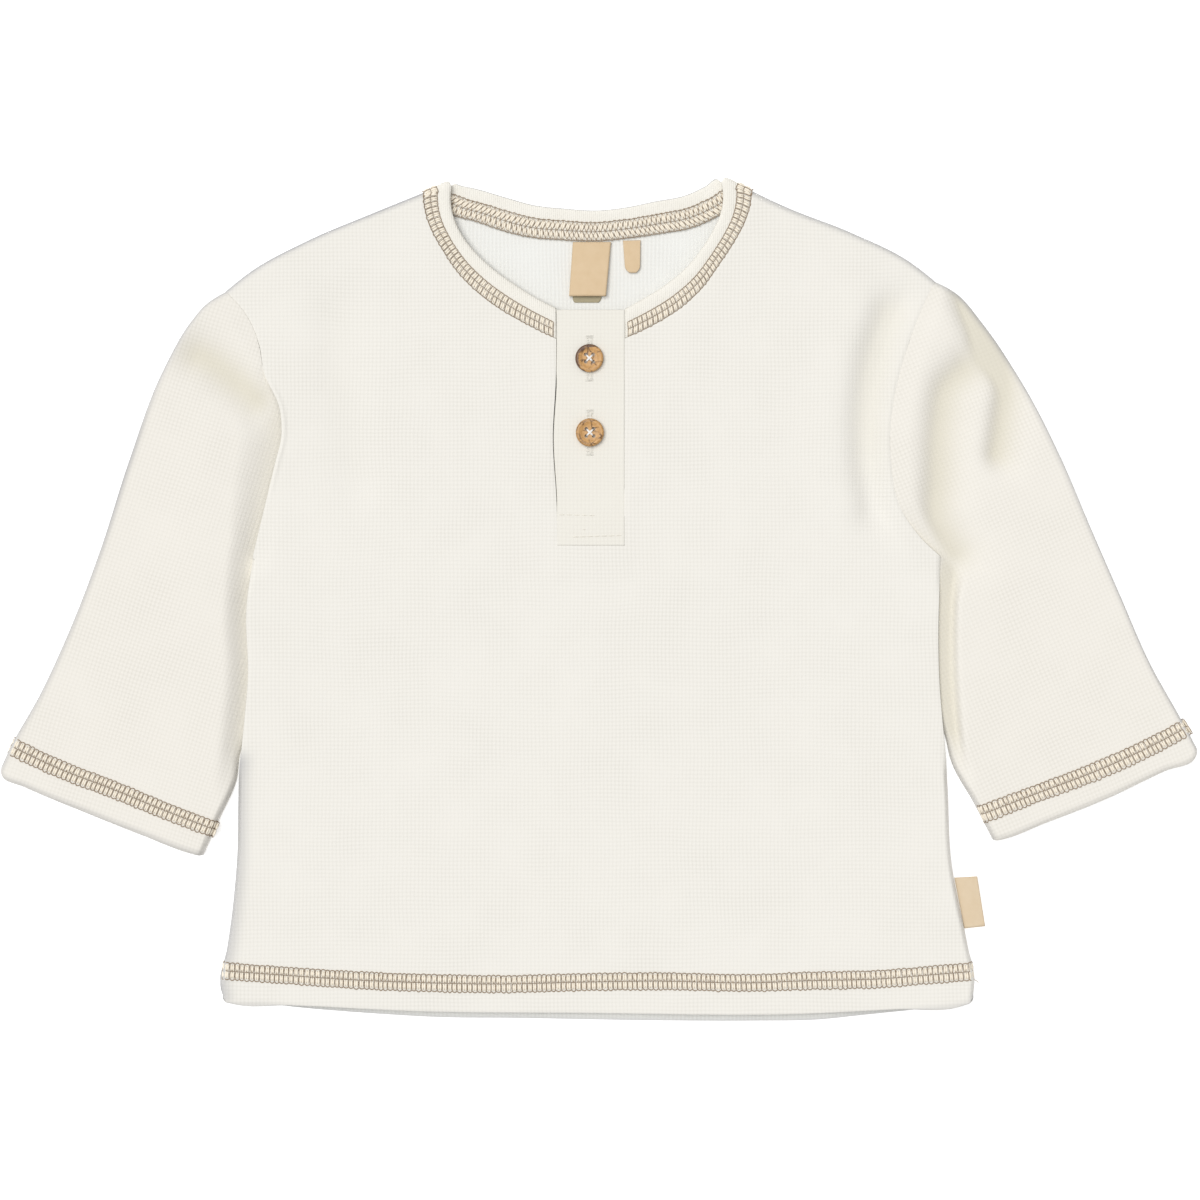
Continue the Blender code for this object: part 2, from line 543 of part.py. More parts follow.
def strip(name, left, right, foot, head, low, high, slot, rows=4, soft=0.35):
    """A flat strip along Y with softened long edges."""
    section = ((left, low + soft), (left + soft, low), (right - soft, low), (right, low + soft),
               (right, high - soft), (right - soft, high), (left + soft, high), (left, high - soft))
    rings = [np.array([(x, y, z) for x, z in section]) for y in np.linspace(foot, head, rows)]
    return loft(name, rings, slot)


strip("placket_top", SLIT_LEFT + GAP, SLIT_RIGHT - GAP, SLIT_FOOT + GAP, PLACKET_TOP,
      PLACKET_RISE - PLACKET_THICK, PLACKET_RISE, band_knit)
under_top = PLACKET_RISE - PLACKET_THICK - GAP
strip("placket_under", SLIT_LEFT + 2.0, SLIT_RIGHT - 3.0, SLIT_FOOT + GAP, PLACKET_TOP - 1.0,
      under_top - UNDER_THICK, under_top, band_knit)


def turned_body(name, profile, x, y, low, slot, steps=36):
    """A round body with its axis up, from a profile of radius and height."""
    angles = np.linspace(0, 2 * np.pi, steps, endpoint=False)
    rings = [np.array([(x + r * np.cos(a), y + r * np.sin(a), low + h) for a in angles])
             for r, h in profile]
    return loft(name, rings, slot)


half = BUTTON_ACROSS / 2
BUTTON_PROFILE = ((half * 0.72, 0.0), (half * 0.93, 0.35), (half, 0.95), (half * 0.99, 1.6),
                  (half * 0.93, 2.05), (half * 0.82, BUTTON_THICK), (half * 0.68, 2.0), (half * 0.56, 1.75))
for name, x, y in BUTTONS:
    low = PLACKET_RISE + GAP
    button = turned_body(name, BUTTON_PROFILE, x, y, low, wood)
    rings, faces = [], []
    steps = 12
    for hole in range(4):
        angle = np.pi / 4 + hole * np.pi / 2
        cx = x + BUTTON_HOLES_OUT * np.sqrt(2) * np.cos(angle)
        cy = y + BUTTON_HOLES_OUT * np.sqrt(2) * np.sin(angle)
        start = len(rings)
        for height in (low - 1.0, low + BUTTON_THICK + 1.0):
            for i in range(steps):
                turn = 2 * np.pi * i / steps
                rings.append((cx + BUTTON_HOLE / 2 * np.cos(turn),
                              cy + BUTTON_HOLE / 2 * np.sin(turn), height))
        for i in range(steps):
            k = (i + 1) % steps
            faces.append((start + i, start + k, start + steps + k, start + steps + i))
        faces.append(tuple(start + i for i in reversed(range(steps))))
        faces.append(tuple(start + steps + i for i in range(steps)))
    cutter = solid(name + "_holes", rings, faces, wood, smooth_faces=False)
    cutter.hide_render = True
    cutter.display_type = "WIRE"
    cut = button.modifiers.new("thread_holes", "BOOLEAN")
    cut.operation = "DIFFERENCE"
    cut.solver = "EXACT"
    cut.object = cutter


def tab(name, corners, low, high):
    """A small flat tab of tape through four corners."""
    points = [(x, y, low) for x, y in corners] + [(x, y, high) for x, y in corners]
    faces = [(0, 3, 2, 1), (4, 5, 6, 7), (0, 1, 5, 4), (1, 2, 6, 5), (2, 3, 7, 6), (3, 0, 4, 7)]
    return solid(name, points, faces, tape, smooth_faces=False)


tab("neck_label", ((-11.2, 113.2), (2.6, 113.2), (4.5, 134.0), (-9.8, 134.0)), 1.5, 2.6)
tab("size_label", ((9.6, 122.4), (15.8, 122.4), (15.6, 134.6), (9.0, 134.6)), 1.5, 2.3)
tab("side_label", ((137.5, -123.6), (145.1, -122.8), (142.2, -104.1), (133.9, -104.6)), 0.7, 1.7)
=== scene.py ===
import math
import bpy
import numpy as np
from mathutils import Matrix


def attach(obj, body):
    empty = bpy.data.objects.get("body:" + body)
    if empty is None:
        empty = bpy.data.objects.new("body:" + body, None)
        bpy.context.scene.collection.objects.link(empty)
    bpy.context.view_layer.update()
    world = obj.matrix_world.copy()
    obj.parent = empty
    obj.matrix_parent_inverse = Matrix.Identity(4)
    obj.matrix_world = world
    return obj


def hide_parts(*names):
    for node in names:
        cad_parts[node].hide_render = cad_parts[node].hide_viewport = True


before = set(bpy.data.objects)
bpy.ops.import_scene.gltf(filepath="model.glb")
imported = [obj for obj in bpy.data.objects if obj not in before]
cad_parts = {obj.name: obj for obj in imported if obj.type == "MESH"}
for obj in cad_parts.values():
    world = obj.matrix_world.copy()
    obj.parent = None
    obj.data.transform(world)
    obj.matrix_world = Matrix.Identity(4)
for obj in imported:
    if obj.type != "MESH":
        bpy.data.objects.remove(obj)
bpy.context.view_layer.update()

# A baby's henley top of cream waffle knit, laid flat with its front up.
# Lengths below are in millimetres, and meshes are built in metres.
METRE = 0.001

# Cloth
CLOTH = 1.2
HEM_CLOTH = 1.8
HEM_DEPTH = 15.0
GAP = 0.3
BODY_RISE = 6.0
SLEEVE_RISE = 6.8
EDGE_ROUND = 2.4
LEAST_RISE = 2.0 * CLOTH + GAP
RIM = 0.42             # round of a cut or turned edge
SEWN_RIM = 0.03        # round of an edge that is sewn to its neighbour

# Neck band and placket
BAND_THICK = 2.0
BAND_FRONT_MID = 4.8
BAND_BACK_MID = 1.0
SLIT_LEFT = -15.6
SLIT_RIGHT = 9.4
SLIT_FOOT = 20.4
PLACKET_TOP = 108.6
PLACKET_THICK = 1.5
PLACKET_RISE = 5.9
UNDER_THICK = 1.1

# Buttons
BUTTON_ACROSS = 10.5
BUTTON_THICK = 2.2
BUTTON_HOLE = 1.35
BUTTON_HOLES_OUT = 1.36
BUTTON_LOW = PLACKET_RISE + 0.25
BUTTONS = (("button_upper", -3.6, 90.3, 0.9), ("button_lower", -3.4, 62.5, 0.12))

# Side edges of the body, hem to underarm. Columns: x, y.
SIDE_LEFT = ((-141.4, -148.7), (-142.3, -144.5), (-139.9, -131.4), (-136.1, -97.7),
             (-135.3, -68.0), (-133.4, -50.0), (-131.6, -28.0), (-132.2, -4.0), (-130.1, 14.8))
SIDE_RIGHT = ((140.6, -148.7), (141.0, -142.7), (138.6, -130.0), (132.4, -97.7),
              (130.9, -68.0), (129.4, -52.0), (127.6, -30.0), (127.3, -8.0), (127.8, 5.0), (128.6, 15.6))
# Armhole seams, underarm to shoulder. Columns: x, y.
ARM_LEFT = ((-130.1, 14.8), (-127.0, 27.5), (-121.5, 50.4), (-118.9, 61.7), (-119.6, 71.4),
            (-125.6, 85.3), (-127.5, 95.8), (-132.0, 106.3), (-140.2, 115.7))
ARM_RIGHT = ((128.6, 15.6), (120.0, 23.8), (112.5, 35.4), (109.5, 50.8), (109.1, 62.1),
             (110.8, 76.7), (116.2, 96.6), (120.4, 107.8), (126.0, 119.6))
# Shoulders, armhole to neck. Columns: x, y.
SHOULDER_LEFT = ((-140.2, 115.7), (-130.9, 123.0), (-108.4, 135.2), (-85.9, 144.7), (-66.0, 152.8))
SHOULDER_RIGHT = ((126.0, 119.6), (116.6, 126.8), (94.1, 138.0), (71.6, 146.8), (57.4, 153.4))
# Hems, left to right. Columns: x, y.
HEM_FRONT = ((-141.4, -148.7), (-140.2, -150.7), (-137.0, -151.6), (-115.9, -152.1),
             (-67.1, -154.3), (-9.0, -154.9), (75.4, -155.3), (110.6, -153.6),
             (136.5, -152.2), (139.4, -151.0), (140.6, -148.7))
HEM_BACK = ((-141.4, -148.7), (-140.2, -150.7), (-137.0, -151.6), (-126.0, -152.0), (-110.0, -153.6),
            (-85.9, -155.5), (-62.0, -156.9), (-30.0, -157.3), (15.4, -158.1), (60.0, -158.3),
            (82.0, -157.9), (99.8, -156.1), (120.0, -154.0), (136.5, -152.0), (139.4, -151.0),
            (140.6, -148.7))

# Neck band on the front, placket to shoulder. Columns: opening x, y, outer x, y.
NECK_LEFT = ((-16.0, 109.2, -16.0, 97.6), (-23.6, 113.1, -27.0, 103.0),
             (-31.9, 118.3, -36.2, 108.2), (-40.1, 124.3, -45.5, 115.0),
             (-46.1, 129.9, -53.0, 122.6), (-51.8, 137.4, -59.2, 131.8),
             (-54.6, 143.8, -63.7, 140.4), (-55.6, 149.3, -65.3, 145.9))
NECK_RIGHT = ((9.7, 109.0, 9.7, 97.8), (17.0, 113.0, 20.0, 102.6),
              (25.5, 118.4, 29.8, 108.6), (33.5, 125.3, 38.2, 116.1),
              (39.0, 132.3, 45.2, 125.6), (43.0, 139.0, 50.5, 133.6),
              (45.8, 145.7, 54.7, 141.4), (46.5, 151.0, 56.5, 146.8))
# Its fold over each shoulder. Columns: opening x, y, outer x, y, out x, y.
FOLD_LEFT = (-55.3, 154.8, -65.0, 150.6, -0.39, 0.92)
FOLD_RIGHT = (45.9, 156.3, 56.4, 151.3, 0.42, 0.91)
BACK_CORNERS = ((-65.3, 149.4), (56.7, 150.2))
# Neck band on the back, left to right. Columns: opening x, y, outer x, y.
NECK_BACK = ((-54.6, 156.3, -60.3, 147.6), (-51.8, 155.6, -54.8, 144.4),
             (-46.5, 154.5, -46.1, 142.0), (-35.2, 151.2, -37.5, 139.0),
             (-24.0, 148.2, -25.5, 136.0), (-12.8, 147.0, -13.5, 135.1),
             (-1.5, 146.3, -1.5, 134.6), (9.8, 147.4, 10.5, 135.7),
             (21.0, 149.7, 22.5, 137.4), (32.2, 151.9, 34.9, 139.7),
             (40.0, 155.4, 44.0, 143.6), (44.4, 158.1, 50.8, 147.4))

# Sleeves. Outer folded edge, shoulder to cuff. Columns: x, y.
OUTER_LEFT = ((-140.2, 115.7), (-147.8, 110.9), (-153.4, 104.4), (-164.6, 84.2), (-175.9, 52.7),
              (-187.1, 18.6), (-198.4, -10.7), (-209.6, -35.1), (-220.9, -55.3), (-224.2, -62.5))
OUTER_RIGHT = ((126.0, 119.6), (133.5, 115.6), (144.8, 102.9), (156.0, 86.4), (172.9, 53.8),
               (184.1, 27.9), (195.4, 2.1), (206.6, -23.4), (217.9, -43.7), (224.2, -55.3))
# Inner edge, underarm to cuff. It runs under the body down to the notch.
INNER_LEFT = ((-129.4, 14.2), (-128.6, 9.0), (-127.6, 2.0), (-126.4, -6.0), (-125.0, -16.0),
              (-126.0, -30.0), (-130.2, -46.0), (-134.9, -58.0), (-136.0, -67.0),
              (-142.6, -82.5), (-148.6, -95.9))
INNER_RIGHT = ((127.9, 15.0), (126.6, 9.5), (125.2, 3.0), (123.6, -6.0), (122.6, -16.0),
               (123.4, -30.0), (126.6, -42.0), (130.2, -52.0), (132.2, -60.5),
               (141.1, -77.0), (147.9, -90.2))
# Cuff edge, outer to inner.
CUFF_LEFT = ((-224.2, -62.5), (-223.5, -65.8), (-215.1, -69.9), (-192.7, -79.3), (-170.2, -88.3),
             (-153.0, -94.8), (-148.6, -95.9))
CUFF_RIGHT = ((224.2, -55.3), (223.2, -59.0), (211.9, -63.9), (189.4, -74.6), (166.9, -83.5),
              (150.9, -89.6), (147.9, -90.2))

# How high the body stands along each armhole seam. Columns: share of the seam from the underarm, height.
SEAM_LEFT = ((0.0, 5.2), (0.2, 5.7), (0.5, 6.2), (0.62, 6.2), (0.8, 5.8), (1.0, 5.7))
SEAM_RIGHT = ((0.0, 5.2), (0.2, 5.7), (0.5, 5.9), (1.0, 5.8))
# Each sleeve's trough along the body, from the notch to the shoulder.
# Columns: y on the body's edge, the sleeve's height there, how far it takes to rise.
TROUGH_LEFT = ((-78.0, 6.8, 9.0), (-66.0, 4.6, 9.0), (-56.0, 2.7, 9.0), (0.0, 2.7, 9.0), (20.0, 2.75, 10.0),
               (40.0, 2.8, 14.0), (66.0, 2.8, 17.0), (78.0, 4.2, 15.0), (88.0, 6.1, 9.0), (116.0, 6.0, 9.0))
TROUGH_RIGHT = ((-72.0, 6.8, 7.0), (-60.0, 4.6, 4.0), (-50.0, 2.7, 3.0), (0.0, 2.7, 3.0), (12.0, 2.8, 6.0),
                (22.0, 4.2, 10.0), (34.0, 5.7, 9.0), (60.0, 5.9, 9.0), (120.0, 5.8, 9.0))
TROUGH_FLAT = {"left": 0.0, "right": 4.8}    # bottom of each trough beside the body's tucked side
TROUGH_LEAN = {"left": 0.0, "right": 1.7}    # how much that bottom falls away from the body
# A narrow rolled ridge beside each armhole seam. Columns: share of the seam from the underarm, height.
RIDGE_LEFT = ((0.0, 0.0), (0.22, 0.0), (0.32, 0.35), (0.5, 0.45), (0.6, 0.35), (0.66, 0.0), (1.0, 0.0))
RIDGE_RIGHT = ((0.0, 0.0), (0.2, 0.1), (0.5, 0.08), (1.0, 0.0))
# How strongly shade is painted into the cloth's colour: in the troughs beside the body, and in the folds
# themselves.
PAINTED_CREASE_STRENGTH = {"left": (0.32, 0.65), "right": (0.5, 0.62), "body": (0.0, 0.25)}
# Painted shade along the turned outline, and how far in it reaches. On the body: its two sides, its
# shoulders, and the two hems.
PAINTED_BODY_EDGE_SHADE = ((0.8, 0.05, 1.0, 0.8, 0.05, 0.4), (7.5, 3.0, 3.2, 3.2, 2.2, 2.8))
# On a sleeve: its outer fold, its inner edge and its cuff.
PAINTED_SLEEVE_EDGE_SHADE = {"left": ((1.0, 0.05, 0.34), (3.2, 2.4, 2.0)), "right": ((0.78, 0.5, 0.12), (3.2, 2.4, 2.0))}
SEAM_DIP = 0.16        # how deep the stitches draw in an armhole seam
PLACKET_END = 0.16     # how far the placket's hidden end lifts the front
PLACKET_PATCH = (-17.2, 8.4, 12.6, 40.0)    # where that end lies: left, foot, right, head
SLIT_BOW = 1.5         # the slit's left edge swings out this far
SLIT_BOW_AT = 60.0     # most at this height
# How far the body's side is lifted by the sleeve tucked under it. Columns: y, lift.
TUCK_LEFT = ((-74.0, 0.0), (-64.0, 2.3), (-58.0, 3.05), (0.0, 3.05), (3.0, 2.6), (14.0, 0.0))
TUCK_RIGHT = ((-68.0, 0.0), (-58.0, 2.4), (-52.0, 3.05), (0.0, 3.05), (3.0, 2.6), (14.0, 0.0))
TUCK_REACH = 12.0      # the lift is full this near the side
TUCK_FADE = 24.0       # and fades over this
FREE_BELOW = -60.0     # from this height down nothing is tucked under the body's sides
FREE_OVER = 8.0        # over which they come free
BACK_INSET = 1.3       # the back's side edges lie this far inside the front's
SIDE_TURN = 2.0        # over which the front turns down over the back at the side seams

# Folds. Columns: height, half width towards -X, towards +X, then the x and y of the fold's line.
BODY_FOLDS = (
    (-1.0, 9.0, 11.0, (-98.0, 106.0), (-95.0, 72.0), (-90.0, 44.0)),
    (-3.0, 6.0, 12.0, (107.6, 106.3), (102.0, 89.1), (99.4, 71.4), (100.1, 49.7), (102.4, 35.1)),
    (0.6, 10.0, 6.0, (98.0, 108.0), (92.0, 90.0), (90.0, 71.0), (90.5, 50.0), (94.0, 35.0)),
    (-0.3, 13.0, 13.0, (-110.0, 40.0), (-76.0, 22.0)),
    (-0.3, 13.0, 13.0, (78.0, 36.0), (110.0, 2.0)),
)
LEFT_FOLDS = (
    (-3.9, 8.5, 9.0, (-150.5, 91.5), (-147.0, 90.0), (-138.4, 83.4), (-128.6, 75.2)),
    (0.3, 9.0, 9.0, (-146.0, 60.0), (-150.0, 20.0), (-152.0, -10.0)),
)
RIGHT_FOLDS = (
    (-4.0, 5.4, 11.0, (136.1, 86.1), (129.4, 78.6), (127.5, 68.1), (126.4, 46.3), (126.4, 29.8),
     (129.4, 23.1), (132.4, 17.8)),
    (-4.0, 4.2, 9.0, (134.5, 116.3), (141.2, 99.2), (147.6, 89.4), (151.4, 80.4), (150.6, 68.1),
     (148.7, 54.9)),
    (-1.7, 9.0, 9.0, (146.0, 112.0), (156.0, 98.0)),
)

# Ladder stitching at the hem and cuffs. Columns: x, y of its top line, x, y of its foot line.
HEM_STITCH = ((-141.2, -136.2, -141.4, -141.8), (-117.8, -138.0, -117.8, -143.4),
              (-90.8, -139.7, -90.8, -145.3), (-67.1, -140.6, -67.1, -146.3),
              (-37.1, -141.2, -37.1, -146.8), (-7.1, -140.5, -7.1, -146.1),
              (20.3, -140.1, 20.3, -145.7), (59.6, -140.7, 59.6, -146.3),
              (75.4, -140.0, 75.4, -145.7), (105.4, -139.2, 105.4, -144.9),
              (125.6, -137.6, 125.6, -143.3), (140.2, -136.3, 140.8, -142.2))
CUFF_STITCH_LEFT = ((-219.4, -51.9, -221.9, -57.2), (-201.8, -60.4, -202.9, -66.0),
                    (-182.3, -67.9, -183.0, -73.6), (-161.6, -76.5, -162.2, -82.0),
                    (-142.2, -83.9, -144.3, -88.8))
CUFF_STITCH_RIGHT = ((219.3, -45.0, 222.2, -49.8), (204.4, -52.8, 205.5, -58.6),
                     (187.1, -60.6, 187.9, -66.6), (163.9, -69.6, 165.0, -75.1),
                     (141.8, -77.8, 144.2, -83.3))
PITCH = 1.9            # along a ladder stitch
# Half the thickness of each thread.
BROWN_THREAD = 0.185
PALE_THREAD = 0.40
WHITE_THREAD = 0.17
SATIN_THREAD = 0.13

# Shares along the edges where the sheets' rows and columns crowd near the folded edges.
ARM_SHARES = (0.0, 0.03, 0.09, 0.17, 0.25, 0.33, 0.42, 0.51, 0.6, 0.68, 0.76, 0.84, 0.91, 0.97, 1.0)
SLIT_SHARE = 6 / 14
SIDE_SHARES = (0.0, 0.03, 0.055, 0.082, 0.09, 0.18, 0.3, 0.42, 0.5, 0.57, 0.68, 0.8, 0.88, 0.94, 1.0)
ACROSS_SHARES = (0.0, 0.007, 0.018, 0.04, 0.09, 0.16, 0.24, 0.33, 0.44, 0.56, 0.7, 0.85, 1.0)
SLEEVE_SHARES = (0.0, 0.008, 0.03, 0.08, 0.15, 0.23, 0.32, 0.41, 0.5, 0.59, 0.68, 0.77, 0.85, 0.905,
                 0.92, 1.0)
INNER_LAG = 2.0        # the rows start closer together along the inner edge
STRAIGHT_BY = 0.45     # share of the sleeve by which its rows have lost the armhole's curve

FINE = 1.0


def finer(shares, count):
    count = max(4, int(count * FINE))
    return np.interp(np.linspace(0, 1, count + 1), np.linspace(0, 1, len(shares)), shares)


def lengths(line):
    """The length of each step of a line, and the length reached at each of its points."""
    steps = np.linalg.norm(np.diff(line, axis=0), axis=1)
    return steps, np.concatenate([[0.0], np.cumsum(steps)])


def smooth(rows, shares):
    """Points at these shares of the length of a soft curve through the rows."""
    rows = np.array(rows, float)
    steps, along = lengths(rows)
    slopes = np.diff(rows, axis=0) / steps[:, None]
    ways = np.empty_like(rows)
    inner = steps[:-1, None] + steps[1:, None]
    ways[1:-1] = (slopes[:-1] * steps[1:, None] + slopes[1:] * steps[:-1, None]) / inner
    ways[0] = 1.5 * slopes[0] - 0.5 * ways[1]
    ways[-1] = 1.5 * slopes[-1] - 0.5 * ways[-2]
    at = np.clip(np.asarray(shares, float), 0.0, 1.0) * along[-1]
    part = np.clip(np.searchsorted(along, at, side="right") - 1, 0, len(steps) - 1)
    long = steps[part][:, None]
    t = (at - along[part])[:, None] / long
    return ((1 + 2 * t) * (1 - t) ** 2 * rows[part] + t * (1 - t) ** 2 * long * ways[part]
            + t * t * (3 - 2 * t) * rows[part + 1] + t * t * (t - 1) * long * ways[part + 1])


def evenly(rows, many):
    """This many points evenly along a soft curve through the rows."""
    return smooth(rows, np.linspace(0, 1, many))


def table(rows, at, column=1):
    """Values of one column of a table at these values of its first."""
    rows = np.array(rows, float)
    return np.interp(at, rows[:, 0], rows[:, column])


def ease(t):
    """A soft step from 0 to 1."""
    t = np.clip(t, 0.0, 1.0)
    return t * t * (3.0 - 2.0 * t)


def roll(distance, reach):
    """0 at a folded edge, 1 from reach on, round like the cloth's turn."""
    t = np.clip(distance / reach, 0.0, 1.0)
    return np.sqrt(1.0 - (1.0 - t) ** 2)


def away(points, line):
    """Distance of each point from a line, and the share of the line nearest to it."""
    line = np.array(line, float)
    long, begun = lengths(line)
    best = np.full(len(points), 1e9)
    share = np.zeros(len(points))
    for i, step in enumerate(np.diff(line, axis=0)):
        t = np.clip(((points - line[i]) @ step) / long[i] ** 2, 0.0, 1.0)
        far = np.linalg.norm(points - line[i] - t[:, None] * step, axis=1)
        nearer = far < best
        best[nearer] = far[nearer]
        share[nearer] = ((begun[i] + t * long[i]) / begun[-1])[nearer]
    return best, share


def folds(points, rows):
    """Height added by soft folds, which may be steeper on one side than on the other."""
    total = np.zeros(len(points))
    for height, west, east, *line in rows:
        soft = evenly(line, 24) if len(line) > 2 else np.array(line)
        far, share = away(points, soft)
        lean = (points[:, 0] - np.interp(share, np.linspace(0, 1, len(soft)), soft[:, 0])) / (far + 1e-6)
        wide = (west + east) / 2 + (east - west) / 2 * np.clip(lean, -1.0, 1.0)
        total += height * np.exp(-(far / wide) ** 2)
    return total


def shares_of(one, other):
    """Mean share of length reached at each point of two edges."""
    found = [along / steps.sum() for steps, along in (lengths(one), lengths(other))]
    return (found[0] + found[1]) / 2


def grid(foot, head, left, right):
    """Points between four edges. foot and head run left to right, the others foot to head."""
    u = shares_of(foot, head)[None, :, None]
    v = shares_of(left, right)[:, None, None]
    corners = ((1 - u) * (1 - v) * foot[0] + u * (1 - v) * foot[-1]
               + (1 - u) * v * head[0] + u * v * head[-1])
    return (1 - v) * foot + v * head + (1 - u) * left[:, None] + u * right[:, None] - corners


def moved(line, distance):
    """The line moved to its right-hand side by a distance."""
    ways = np.diff(line, axis=0)
    ways /= np.linalg.norm(ways, axis=1)[:, None]
    sides = np.column_stack([ways[:, 1], -ways[:, 0]])
    before = np.vstack([sides[:1], sides])
    after = np.vstack([sides, sides[-1:]])
    square = 1.0 + (before * after).sum(axis=1)[:, None]
    return line + distance * (before + after) / square


def fitted(line, start, end):
    """The line turned and sized so that it runs from start to end."""
    span = line[-1] - line[0]
    wanted = end - start
    size = (span @ span)
    cosine = (span @ wanted) / size
    sine = (span[0] * wanted[1] - span[1] * wanted[0]) / size
    local = line - line[0]
    turned = np.column_stack([cosine * local[:, 0] - sine * local[:, 1],
                              sine * local[:, 0] + cosine * local[:, 1]])
    return start + turned


def cells(names, round_about=False):
    """Four-cornered faces between an array of point numbers, closed round its rows where asked."""
    if round_about:
        names = np.concatenate([names, names[..., :1]], axis=-1)
    corners = names[..., :-1, :-1], names[..., :-1, 1:], names[..., 1:, 1:], names[..., 1:, :-1]
    return np.stack(corners, axis=-1).reshape(-1, 4)


def border(names):
    """The point numbers round the border of an array."""
    return np.concatenate([names[0, :], names[1:, -1], names[-1, -2::-1], names[-2:0:-1, 0]])


def sheet_of(grids):
    """One array of points and one of four-cornered faces from grids that share edges."""
    points = np.vstack([plan.reshape(-1, 2) for plan in grids])
    faces, start = [], 0
    for plan in grids:
        size = plan.shape[0] * plan.shape[1]
        faces.append(start + cells(np.arange(size).reshape(plan.shape[:2])))
        start += size
    keys = np.round(points, 3)
    _, first, same = np.unique(keys, axis=0, return_index=True, return_inverse=True)
    return points[first], same.reshape(-1)[np.vstack(faces)]


# ---------------------------------------------------------------- materials

def srgb(code):
    """Linear colour of an sRGB hex code."""
    parts = [int(code[i:i + 2], 16) / 255 for i in (1, 3, 5)]
    return tuple(c / 12.92 if c <= 0.04045 else ((c + 0.055) / 1.055) ** 2.4 for c in parts) + (1.0,)


class Finish:
    """A material and its nodes."""

    def __init__(self, name):
        self.material = bpy.data.materials.new(name)
        self.material.use_nodes = True
        self.tree = self.material.node_tree
        self.shader = self.tree.nodes["Principled BSDF"]
        self.where = self.add("TexCoord").outputs["Object"]

    def fill(self, node, inputs):
        """Sets inputs in order or by name. A node given as a value stands for its first output."""
        for key, value in (inputs if isinstance(inputs, dict) else dict(enumerate(inputs))).items():
            if isinstance(value, bpy.types.Node):
                value = value.outputs[0]
            if isinstance(value, bpy.types.NodeSocket):
                self.tree.links.new(value, node.inputs[key])
            else:
                node.inputs[key].default_value = value
        return node

    def add(self, kind, inputs=(), **settings):
        """Adds a node with its settings and links."""
        node = self.tree.nodes.new("ShaderNode" + kind)
        for key, value in settings.items():
            setattr(node, key, value)
        return self.fill(node, inputs)


# Colours of painted shade: deep in a fold, and along the turned outline.
PAINTED_CREASE_COLOUR = "#cec8b4"
PAINTED_EDGE_COLOUR = "#a3a3a6"
# Soft cotton's surface: hardly any shine.
COTTON = {"Roughness": 0.92, "Specular IOR Level": 0.25}


def waffle(name, light, painted_pit_shade, grain, cell=(1.45, 1.5), depth=0.08, inside=False):
    """Cotton waffle knit: ridges both ways round small square pits, matte, with a faint fuzz."""
    f = Finish(name)
    # The knit's rows wander a little, as hand-smoothed cloth does.
    drift = f.add("TexNoise", {"Vector": f.where, "Scale": 28.0, "Detail": 1.0})
    shift = f.add("VectorMath", (drift.outputs["Color"], (0.5, 0.5, 0.5)), operation="SUBTRACT")
    warp = f.add("VectorMath", {0: shift, "Scale": 0.0024}, operation="SCALE")
    bent = f.add("VectorMath", (f.where, warp), operation="ADD")
    turned = f.add("Mapping", {"Vector": bent, "Rotation": (0, 0, math.radians(grain))})
    parts = f.add("SeparateXYZ", (turned,)).outputs
    ways = []
    for part, size, half in zip(parts, cell, (0.5, 0.4)):
        phase = f.add("Math", (part, math.tau / (size * METRE)), operation="MULTIPLY")
        wave = f.add("Math", (phase,), operation="COSINE")
        ways.append(f.add("Math", (wave, half, half), operation="MULTIPLY_ADD"))
    if inside:
        weak = f.add("Math", (ways[1], 0.25), operation="MULTIPLY")
        height = f.add("Math", (ways[0], 0.7, weak), operation="MULTIPLY_ADD")
    else:
        between = [f.add("Math", (1.0, way), operation="SUBTRACT") for way in ways]
        lines = [f.add("Math", (way, 2.0), operation="POWER") for way in between]
        crossed = f.add("Math", lines, operation="ADD")
        height = f.add("Math", (crossed, -0.37, 1.0), operation="MULTIPLY_ADD")
    fuzz = f.add("TexNoise", {"Vector": f.where, "Scale": 2200.0, "Detail": 2.0})
    patch = f.add("TexNoise", {"Vector": f.where, "Scale": 55.0, "Detail": 2.0})
    strength = f.add("Math", (patch.outputs["Fac"], 1.6, 0.15), operation="MULTIPLY_ADD")
    drawn = f.add("Math", (height, strength), operation="MULTIPLY")
    body = f.add("Math", (drawn, depth), operation="MULTIPLY")
    hairs = f.add("Math", (fuzz.outputs["Fac"], 0.10), operation="MULTIPLY")
    relief = f.add("Math", (body, hairs), operation="ADD")
    bump = f.add("Bump", {"Strength": 1.0, "Distance": METRE, "Height": relief})
    # The pits are painted darker: painted shade in the knit's hollows.
    sunk = f.add("Math", (1.0, height), operation="SUBTRACT")
    share = f.add("Math", (sunk, strength), operation="MULTIPLY")
    plain = f.add("Mix", {0: share, 6: srgb(light), 7: srgb(painted_pit_shade)}, data_type="RGBA")
    # Painted shade: deep in its folds the cloth is coloured warmer and darker, standing in for the shade
    # there.
    painted_crease_node = f.add("Attribute", attribute_name="crease_shade")
    with_painted_crease = f.add("Mix", {0: painted_crease_node.outputs["Fac"], 6: plain.outputs[2], 7: srgb(PAINTED_CREASE_COLOUR)},
                   data_type="RGBA")
    # Painted shade: where the cloth turns away at its outline it is coloured greyer.
    away_from_light = f.add("Attribute", attribute_name="edge_shade")
    colour = f.add("Mix", {0: away_from_light.outputs["Fac"], 6: with_painted_crease.outputs[2], 7: srgb(PAINTED_EDGE_COLOUR)},
                   data_type="RGBA")
    f.fill(f.shader, {"Base Color": colour.outputs[2], "Normal": bump, **COTTON, "Sheen Weight": 0.08,
                      "Sheen Roughness": 0.5})
    return f.material


